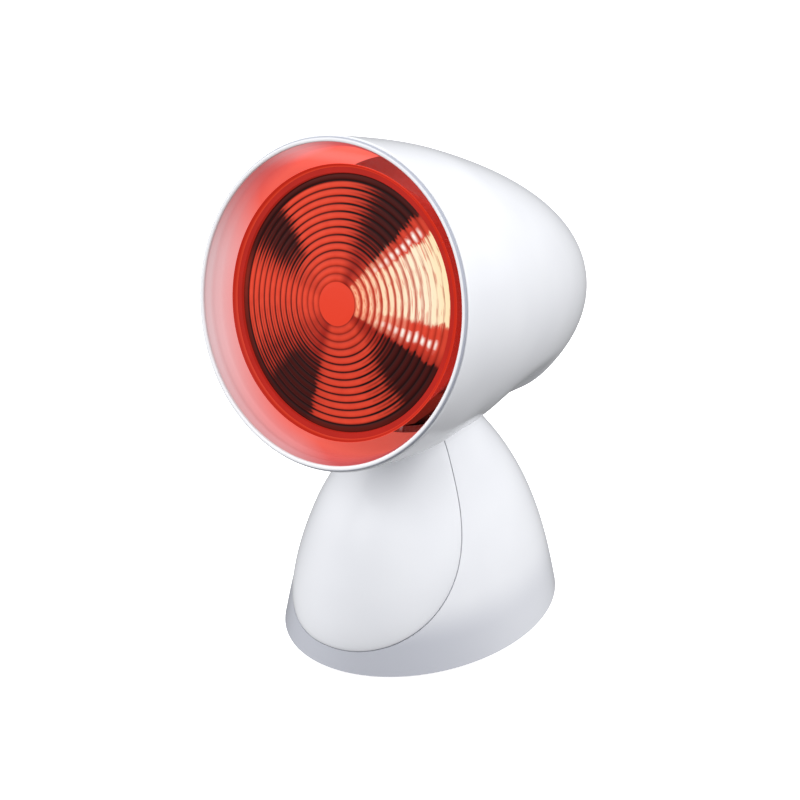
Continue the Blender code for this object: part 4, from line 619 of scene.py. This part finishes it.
def buildBulb():
    lens = ringMesh("bulbLens", turnedRings(lensProfile(), bulb["around"]), shadePlace, sharp=80)
    dress(lens, rubyGlass())
    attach(lens, "shade")
    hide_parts("bulb_lens")
    rim = bulb["radius"] - bulb["wall"] / 2
    neckEnd = bulb["bowlStart"] + bulb["bowlDeep"]
    outer = [(bulb["neck"] + (rim - bulb["neck"]) * (1 - i / 40) ** 0.62, bulb["bowlStart"] + bulb["bowlDeep"] * i / 40)
             for i in range(41)]
    inner = [(r - bulb["wall"], b) for r, b in outer[::-2]]
    tip = bulb["neck"] * 0.56
    start, waist, inside = bulb["capStart"], bulb["neck"] * 0.93, tip - bulb["wall"] / 2
    tail = [(waist, neckEnd + 11.3 * mm), (tip, start + 0.3 * mm), (tip, start + 6.3 * mm), (inside, start + 6.3 * mm),
            (inside, start - 2.2 * mm), (waist - bulb["wall"], neckEnd + 9.4 * mm)]
    bowl = ringMesh("bulbBowl", turnedRings(outer + tail + inner, 120), shadePlace, wrap=True, sharp=50)
    dress(bowl, silveredRuby())
    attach(bowl, "shade")
    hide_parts("bulb_reflector")
    print("bulb built")


# the stand: a flared foot under a dome that turns about the hinge line
stand = {
    "halfDeep": 75.6 * mm, "ratio": 1.28, "flare": 0.21, "wall": 2.6 * mm, "hinge": 59.0 * mm, "dome": 47.0 * mm,
    "join": radians(40), "around": 200,
    "seamLow": 9.8 * mm, "seamRise": 72.0 * mm, "seamAngle": radians(67.5), "seamShape": 2.35,
    "pillow": 0.7 * mm, "roll": 1.5 * mm, "rollWide": 0.38,
    "drop": 0.2 * mm, "panelWall": 2.2 * mm, "gap": 0.3 * mm,
    "legHalf": 10.2 * mm, "slotFront": -20.9 * mm, "slotRear": 9.7 * mm, "slotLow": 89.2 * mm,
    "slotTop": 125.0 * mm, "cutPast": 4.0 * mm,
}


def standDeep(height, inset=0.0):
    dome = stand["dome"] - inset
    joint = stand["hinge"] + dome * sin(stand["join"])
    if height >= joint:
        return sqrt(max(dome ** 2 - (height - stand["hinge"]) ** 2, 0.0))
    u = max(0.0, height / joint)
    foot = stand["halfDeep"] - inset
    neck = dome * cos(stand["join"])
    footSlope = -stand["flare"] * joint
    neckSlope = -tan(stand["join"]) * joint
    return ((2 * u ** 3 - 3 * u ** 2 + 1) * foot + (u ** 3 - 2 * u ** 2 + u) * footSlope
            + (3 * u ** 2 - 2 * u ** 3) * neck + (u ** 3 - u ** 2) * neckSlope)


def standHeights(inset, low, high):
    dome = stand["dome"] - inset
    joint = stand["hinge"] + dome * sin(stand["join"])
    heights = [joint * i / low for i in range(low)]
    for i in range(high):
        angle = stand["join"] + (pi / 2 - stand["join"]) * i / high
        heights.append(stand["hinge"] + dome * sin(angle))
    return heights


def standSpot(angle, height, inset=0.0, proud=0.0):
    deep = standDeep(height, inset) + proud
    return deep / stand["ratio"] * sin(angle), -deep * cos(angle), height


def seamAngle(height, gap=0.0):
    share = (height - stand["seamLow"] + gap) / stand["seamRise"]
    if share <= 0:
        return 0.0
    shape = 1.0 if share >= 1 else (1 - (1 - share) ** stand["seamShape"]) ** (1 / stand["seamShape"])
    width = max(standDeep(height) / stand["ratio"], stand["dome"] / 8)
    return stand["seamAngle"] * shape + gap / width


def panelRings(gap, inside, columns, rollOff):
    shape = stand["seamShape"]
    joint = stand["hinge"] + stand["dome"] * sin(stand["join"])
    shares = [sin(pi / 2 * i / 40) for i in range(1, 40)]
    heights = [stand["seamLow"] - gap + stand["seamRise"] * (1 - (1 - w ** shape) ** (1 / shape)) for w in shares]
    heights += [h for h in standHeights(0.0, 60, 26) if h > heights[-1] + 1.0 * mm]
    rings = []
    for height in heights:
        half = seamAngle(height, gap)
        fade = 1 - ease((height - stand["hinge"]) / (joint - stand["hinge"]))
        low = max(0.0, 1 - (height - stand["seamLow"]) / stand["seamRise"])
        front = []
        back = []
        for i in range(columns + 1):
            across = sin(pi / 2 * (2 * i / columns - 1))
            full = min(1.0, abs(across * half / stand["seamAngle"]) ** shape + low ** shape)
            front.append(standSpot(across * half, height, 0.0, rollOff(full, fade)))
            back.append(standSpot(across * half, height, inside))
        rings.append(front + back[::-1])
    return rings


def panelProud(full, fade):
    roll = sqrt(max(0.0, 1 - max(0.0, (full - 1 + stand["rollWide"]) / stand["rollWide"]) ** 2))
    return -stand["drop"] + stand["pillow"] * (1 - full) * fade + stand["roll"] * roll * fade


def buildStand(plastic, footPlastic):
    outer = [[standSpot(2 * pi * i / stand["around"], h) for i in range(stand["around"])]
             for h in standHeights(0.0, 60, 26)]
    inner = [[standSpot(2 * pi * i / stand["around"], h, stand["wall"]) for i in range(stand["around"])]
             for h in standHeights(stand["wall"], 24, 12)]
    top = [(0.0, 0.0, stand["hinge"] + stand["dome"])]
    innerTop = [(0.0, 0.0, stand["hinge"] + stand["dome"] - stand["wall"])]
    shell = ringMesh("baseShell", [top] + outer[::-1] + inner + [innerTop], standPlace)
    rings = panelRings(stand["gap"], stand["wall"] + stand["cutPast"], 40, lambda full, fade: stand["cutPast"])
    tip = [standSpot(0.0, stand["seamLow"] - stand["gap"])]
    crown = [(0.0, 0.0, stand["hinge"] + stand["dome"] + 1.0 * mm)]
    cutter = ringMesh("panelRoom", [tip] + rings + [crown], standPlace)
    combine(shell, [cutter, slotBlock(), switchRoom(), cordRoom()])
    dress(shell, footPlastic)
    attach(shell, "stand")
    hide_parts("base_shell")
    rings = panelRings(0.0, stand["panelWall"], 48, panelProud)
    tip = [standSpot(0.0, stand["seamLow"], stand["panelWall"] / 2)]
    crown = [(0.0, 0.0, stand["hinge"] + stand["dome"] - stand["drop"] - stand["panelWall"] / 2)]
    panel = ringMesh("frontPanel", [tip] + rings + [crown], standPlace, sharp=50)
    combine(panel, [slotBlock()])
    dress(panel, plastic)
    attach(panel, "stand")
    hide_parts("front_panel")
    print("stand built")


def boxMesh(name, low, high, place):
    bm = bmesh.new()
    bmesh.ops.create_cube(bm, size=1.0)
    low, high = Vector(low), Vector(high)
    bm.transform(Matrix.Translation((low + high) / 2) @ Matrix.Diagonal((*(high - low), 1.0)))
    return finishMesh(name, bm, place)


def slotBlock():
    return boxMesh("legRoom", (-stand["legHalf"], stand["slotFront"], stand["slotLow"]),
                   (stand["legHalf"], stand["slotRear"], stand["slotTop"]), standPlace)


def flankPlace(height, step):
    rise = standDeep(height - step) - standDeep(height + step)
    lean = atan2(rise, 2 * step)
    spot = Matrix.Translation((0.0, standDeep(height), height))
    return standPlace @ spot @ Matrix.Rotation(pi, 4, "Z") @ Matrix.Rotation(pi / 2 - lean, 4, "X")


# the rocker switch, snapped into the back of the stand
switch = {
    "height": 36.0 * mm, "wide": 13.0 * mm, "tall": 21.0 * mm, "deep": 15.0 * mm, "wall": 1.2 * mm,
    "corner": 1.4 * mm, "rim": 2.0 * mm, "thick": 1.8 * mm, "sink": 1.0 * mm, "air": 0.3 * mm,
    "pivot": 3.2 * mm, "throw": radians(20), "top": 5.8 * mm, "dip": 1.6 * mm, "under": 4.0 * mm, "pin": 1.2 * mm,
    "round": 0.5 * mm,
}


def roundedRing(wide, tall, corner, level, steps=6):
    ring = []
    for quarter in range(4):
        signX, signY = ((1, 1), (-1, 1), (-1, -1), (1, -1))[quarter]
        for i in range(steps + 1):
            angle = pi / 2 * (quarter + i / steps)
            ring.append((signX * (wide - corner) + corner * cos(angle),
                         signY * (tall - corner) + corner * sin(angle), level))
    return ring


def closedRings(rings):
    middles = [[tuple(sum(p[k] for p in ring) / len(ring) for k in range(3))] for ring in (rings[0], rings[-1])]
    return [middles[0]] + rings + [middles[1]]


def switchPlace():
    return flankPlace(switch["height"], switch["tall"] / 4)


def switchRoom():
    wide = switch["wide"] / 2 + switch["air"]
    tall = switch["tall"] / 2 + switch["air"]
    corner = switch["corner"] + switch["air"]
    seat = -switch["sink"] - switch["air"]
    rings = [roundedRing(wide, tall, corner / 2, level) for level in (seat - switch["deep"], seat)]  # for the body
    rings += [roundedRing(wide + switch["rim"], tall + switch["rim"], corner, level) for level in (seat, 6 * mm)]
    return ringMesh("switchRoom", closedRings(rings), switchPlace())


def buildSwitch(plastic):
    wide, tall, corner, edge = switch["wide"] / 2, switch["tall"] / 2, switch["corner"], switch["round"]
    floor = -switch["sink"]
    lip = floor + switch["thick"]
    rim, wall = switch["rim"], switch["wall"]
    rings = [roundedRing(wide, tall, corner / 2, floor - switch["deep"]), roundedRing(wide, tall, corner / 2, floor),
             roundedRing(wide + rim, tall + rim, corner, floor)]
    for i in range(6):  # the bezel's outer edge is rolled over
        angle = pi / 2 * i / 5
        inset = edge * (1 - cos(angle))
        rings.append(roundedRing(wide + rim - inset, tall + rim - inset, corner - inset / 2,
                                 lip - edge * (1 - sin(angle))))
    rings += [roundedRing(wide - wall + 0.3 * mm, tall - wall + 0.3 * mm, corner / 2, lip),
              roundedRing(wide - wall, tall - wall, corner / 3, lip - 0.3 * mm),
              roundedRing(wide - wall, tall - wall, corner / 3, floor - switch["deep"] + wall)]
    bezel = ringMesh("switchBezel", closedRings(rings), switchPlace(), sharp=35)
    pivot = turnedRings([(0.0, -wide - 4 * mm), (switch["pin"] + switch["air"], -wide - 4 * mm),
                         (switch["pin"] + switch["air"], wide + 4 * mm), (0.0, wide + 4 * mm)], 24)
    across = Matrix.Translation((0.0, 0.0, -switch["pivot"])) @ Matrix.Rotation(pi / 2, 4, "Y")
    combine(bezel, [ringMesh("pivotRoom", pivot, switchPlace() @ across)])
    dress(bezel, plastic)
    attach(bezel, "stand")
    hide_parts("switch_housing")

    # at rest the rocker is pressed in at its lower end
    half = wide - wall - switch["air"]
    reach = (tall - wall - 4 * switch["air"]) * 0.93
    outline = []
    for i in range(41):
        y = reach * (i / 20 - 1)
        fall = min(1.0, (reach - abs(y)) / (1.2 * mm))
        crest = switch["top"] - switch["dip"] * (1 - (abs(y) / reach) ** 1.5)
        outline.append((y, crest - 0.6 * mm * (1 - sqrt(1 - (1 - fall) ** 2))))
    outline += [(reach, -switch["pin"]), (reach * 0.55, -switch["under"]), (-reach * 0.55, -switch["under"]),
                (-reach, -switch["pin"])]
    rings = []
    for x, inset in ((-half, 0.6), (-half + 0.12 * mm, 0.3), (-half + 0.35 * mm, 0.1), (-half + 0.7 * mm, 0.0),
                     (half - 0.7 * mm, 0.0), (half - 0.35 * mm, 0.1), (half - 0.12 * mm, 0.3), (half, 0.6)):
        share = 1 - inset * mm / reach
        rings.append([(x, y * share, z - inset * mm * (z > 0)) for y, z in outline])
    axis = Matrix.Translation((0.0, 0.0, -switch["pivot"])) @ Matrix.Rotation(switch["throw"] / 2, 4, "X")
    rocker = ringMesh("rockerCap", closedRings(rings), switchPlace() @ axis, sharp=50)
    reachPin = half + wall * 0.8
    pins = turnedRings([(0.0, -reachPin), (switch["pin"], -reachPin), (switch["pin"], reachPin), (0.0, reachPin)], 24)
    pins = ringMesh("rockerPins", pins, switchPlace() @ axis @ Matrix.Rotation(pi / 2, 4, "Y"))
    combine(rocker, [pins], "UNION", 50)
    dress(rocker, plastic)
    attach(rocker, "rocker")
    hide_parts("switch_rocker")
    print("switch built")


def plainFinish(name, colour, second, roughness, metallic, grainMm, deep):
    material, add, shader = newMaterial(name, Roughness=roughness, Metallic=metallic)
    grain = add("TexNoise", {"Vector": add("TexCoord", out="Object"), "Scale": 1000 / grainMm, "Detail": 4.0})
    tint = add("Mix", blend | {0: grain, 6: colour, 7: second}, 2)
    rough = add("MapRange", {"Value": grain, "To Min": roughness * 0.8, "To Max": min(1.0, roughness * 1.2)})
    bump = add("Bump", {"Height": grain, "Strength": deep, "Distance": 0.1 * mm})
    wire(shader, Base_Color=tint, Roughness=rough, Normal=bump)
    return material


# what the small pieces are made of: colour, its second tone, roughness, metallic, grain in mm, the grain's depth
smallFinishes = {
    # bright passivated plating over pressed steel: a soft silvery sheen with faint cloudy spangle
    "zinc-plated steel": (("#B9BCC0", "#9EA2A6", 0.34, 1.0, 1.2, 0.2), (
        "lamp_bracket", "hinge_yoke", "hinge_pin", "hinge_nut", "detent_plunger", "shell_screw_1", "shell_screw_2",
        "shell_screw_3", "shell_screw_4", "bracket_screw_1", "bracket_screw_2", "holder_screw_1", "holder_screw_2",
        "base_screw_1", "base_screw_2", "base_screw_3", "base_screw_4", "stack_bolt_1", "stack_bolt_2",
        "stack_nut_1", "stack_nut_2")),
    # drawn brass: warm and half bright, slightly dulled where it was handled
    "drawn brass": (("#C9A25A", "#B08A45", 0.3, 1.0, 1.5, 0.15), (
        "bulb_cap", "lampholder_thread", "lampholder_contact", "switch_blade_line", "switch_blade_load")),
    # glass-filled nylon: near black, with the short fibres showing as a fine dry grain
    "glass-filled nylon": (("#17171A", "#222225", 0.5, 0.0, 0.6, 0.4), ("hinge_leg",)),
    # black ABS from a spark-eroded mould: an even matt pebble that breaks up reflections
    "spark-eroded black ABS": (("#101012", "#1B1B1E", 0.48, 0.0, 0.5, 0.5), ("base_plate",)),
    # moulded rubber: soft, dark and dull
    "moulded rubber": (("#1C1C1D", "#262627", 0.8, 0.0, 0.9, 0.5), (
        "rubber_foot_1", "rubber_foot_2", "rubber_foot_3", "rubber_foot_4")),
    # flexible PVC: mid grey with a waxy, uneven sheen
    "grey flexible PVC": (("#8C8D92", "#7C7D82", 0.55, 0.0, 0.8, 0.3), ()),
    # sand-cast iron: dark and coarse, as it left the mould
    "sand-cast iron": (("#2A2B2E", "#3A3A3C", 0.75, 0.6, 1.6, 0.8), ("ballast_weight",)),
    # glazed porcelain: ivory and wet-looking, hardly textured
    "glazed porcelain": (("#E4DFD2", "#D8D2C4", 0.15, 0.0, 6.0, 0.05), ("lampholder_body",)),
    # vulcanised fibre: brick red and papery
    "vulcanised fibre": (("#6B3326", "#592A20", 0.7, 0.0, 0.7, 0.4), ("friction_washer_left", "friction_washer_right")),
    # undyed nylon: warm ivory, slightly translucent to the eye
    "natural nylon": (("#DAD5C4", "#CDC7B5", 0.5, 0.0, 1.5, 0.1), ("terminal_block",)),
    # lead glass of the stem: pale and sharp in its highlights
    "clear lead glass": (("#DADFDF", "#D0D6D6", 0.06, 0.0, 9.0, 0.05), ("bulb_stem",)),
    # drawn tungsten: dark grey wire with die marks
    "tungsten wire": (("#5A5A5C", "#48484A", 0.4, 1.0, 0.6, 0.2), ("bulb_filament",)),
    # black glass insulator under the contact: glossy and dark
    "black glass insulator": (("#0E0E12", "#18181C", 0.2, 0.0, 2.0, 0.05), ("bulb_contact",)),
}


# the bush that the mains cord would leave through: soft PVC, snapped into the shell
bush = {
    "height": 13.0 * mm, "radius": 7.6 * mm, "neck": 5.8 * mm, "bore": 4.3 * mm, "flange": 1.5 * mm,
    "air": 0.3 * mm, "around": 64,
}


def bushPlace():
    return flankPlace(bush["height"], bush["radius"] / 2)


def cordRoom():
    radius = bush["neck"] + bush["air"]
    profile = [(0.0, -8 * mm), (radius, -8 * mm), (radius, 5 * mm), (0.0, 5 * mm)]
    return ringMesh("cordRoom", turnedRings(profile, bush["around"]), bushPlace())


def buildBush():
    low = 2 * bush["air"]
    back = -stand["wall"] * 1.15 - bush["air"]
    middle = (bush["bore"] + bush["radius"]) / 2
    half = (bush["radius"] - bush["bore"]) / 2
    profile = [(bush["bore"], back - 2 * bush["flange"])]
    for i in range(13):  # the flange is rolled from the bore to its outer edge
        angle = pi * i / 12
        profile.append((middle - half * cos(angle), low + bush["flange"] * (0.35 + 0.65 * sin(angle) ** 0.7)))
    profile += [(bush["radius"], low), (bush["neck"], low), (bush["neck"], back - bush["air"]),
                (bush["neck"] + bush["flange"] / 2, back - 2 * bush["air"]), (bush["neck"], back - 2 * bush["flange"])]
    thing = ringMesh("cordBush", turnedRings(profile, bush["around"]), bushPlace(), wrap=True, sharp=50)
    dress(thing, plainFinish("grey flexible PVC", *smallFinishes["grey flexible PVC"][0]))
    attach(thing, "stand")
    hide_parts("cord_inlet_bush")
    print("cord bush built")


# the vented cap over the shade's rear hole: crowned like the egg, with slots across it
cap = {
    "radius": 26.5 * mm, "air": 0.4 * mm, "wall": 1.5 * mm, "round": 0.6 * mm, "around": 128,
    "slotWide": 2.6 * mm, "pitch": 5.8 * mm, "slots": 5, "reach": 17.0 * mm, "chamfer": 0.35 * mm,
    "clips": 3, "clipThick": 1.6 * mm, "clipWide": 5.0 * mm, "clipLong": 11.0 * mm, "barb": 1.0 * mm,
}


def buildVentCap(plastic):
    top = cap["air"] + cap["wall"]
    edge = cap["round"]
    profile = [(0.0, shadeBack(0.0) + cap["air"])]
    profile += [(cap["radius"] * i / 24, shadeBack(cap["radius"] * i / 24) + cap["air"]) for i in range(1, 25)]
    for i in range(7):  # rolled outer edge
        angle = pi / 2 * i / 6
        radius = cap["radius"] - edge * (1 - cos(angle))
        profile.append((radius, shadeBack(radius) + top - edge * (1 - sin(angle))))
    last = cap["radius"] - edge
    profile += [(last * (1 - i / 24), shadeBack(last * (1 - i / 24)) + top) for i in range(1, 25)]
    seat = shadePlace @ Matrix.Translation((0.0, -shade["lift"], 0.0))
    thing = ringMesh("ventCap", turnedRings(profile, cap["around"]), seat, sharp=50)
    cutters = []
    for i in range(cap["slots"]):
        level = (i - (cap["slots"] - 1) / 2) * cap["pitch"]
        reach = sqrt(cap["reach"] ** 2 - level ** 2)
        rings = []
        for grow, height in ((0.0, -4 * mm), (0.0, -cap["chamfer"]), (cap["chamfer"] + 1 * mm, 1 * mm)):
            half = cap["slotWide"] / 2 + grow
            ring = []
            for side in (1, -1):  # along one side, then round its end
                for k in range(21):
                    ring.append((side * (reach - half) * (1 - k / 10), side * half + level))
                for k in range(1, 12):
                    angle = pi * k / 12
                    ring.append((side * (-(reach - half) - half * sin(angle)),
                                 side * half * cos(angle) + level))
            rings.append([(x, y, shadeBack(hypot(x, y)) + top + height) for x, y in ring])
        rings.append([(x, y, shadeBack(0.0) + top + 4 * mm) for x, y, z in rings[-1]])
        cutters.append(ringMesh("ventSlot", closedRings(rings), seat))
    combine(thing, cutters)
    # three spring clips hold it in the hole
    outside = shade["hole"] - 0.45 * mm
    inside = outside - cap["clipThick"]
    root = shadeBack(outside) + top - cap["wall"] / 2
    hook = shadeBack(shade["hole"]) - 3.4 * mm
    tip = root - cap["clipLong"]
    outline = [(inside, root), (outside, root), (outside, hook), (outside + cap["barb"], hook), (outside, tip),
               (inside, tip)]
    for i in range(cap["clips"]):
        around = Matrix.Rotation(radians(60 + 120 * i), 4, "Z")
        rings = [[(x, y, z) for x, z in outline] for y in (-cap["clipWide"] / 2, cap["clipWide"] / 2)]
        clip = ringMesh("ventClip", closedRings(rings), seat @ around)
        combine(thing, [clip], "UNION", 50)
    dress(thing, plastic)
    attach(thing, "shade")
    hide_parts("rear_vent_cap")
    print("vent cap built")


# painted light: the saddle that carries the shade starts right behind the inner shade,
# and its material glows red towards its top for the bulb's red light falling on it
saddleLight = {"colour": "#A83226", "shine": 0.34, "low": 98 * mm, "high": 115 * mm}


def lightSaddle(material):
    add = partial(addNode, material.node_tree)
    height = add("SeparateXYZ", {0: add("TexCoord", out="Object")}, "Z")
    share = add("MapRange", smooth | {"Value": height, "From Min": saddleLight["low"],
                                      "From Max": saddleLight["high"], "To Max": saddleLight["shine"]})
    shader = material.node_tree.nodes["Principled BSDF"]
    wire(shader, Emission_Color=saddleLight["colour"], Emission_Strength=share)


def dressSmallParts():
    for name, (settings, nodes) in smallFinishes.items():
        for i, node in enumerate(nodes):
            material = material if i else plainFinish(name, *settings)
            dress(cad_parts[node], material)
    # painted light: the saddle's nylon glows red near its top
    lightSaddle(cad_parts["hinge_leg"].data.materials[0])
    print("small parts dressed")


buildStudio()
whitePlastic = mouldedAbs("moulded ABS")
buildHeadShell(whitePlastic)
buildVentCap(whitePlastic)
buildInnerShade()
buildBulb()
buildStand(whitePlastic, mouldedAbs("moulded ABS of the foot, with painted shade", paintFootShade=True))
buildSwitch(plainFinish("black ABS of the switch", *smallFinishes["spark-eroded black ABS"][0]))
buildBush()
dressSmallParts()
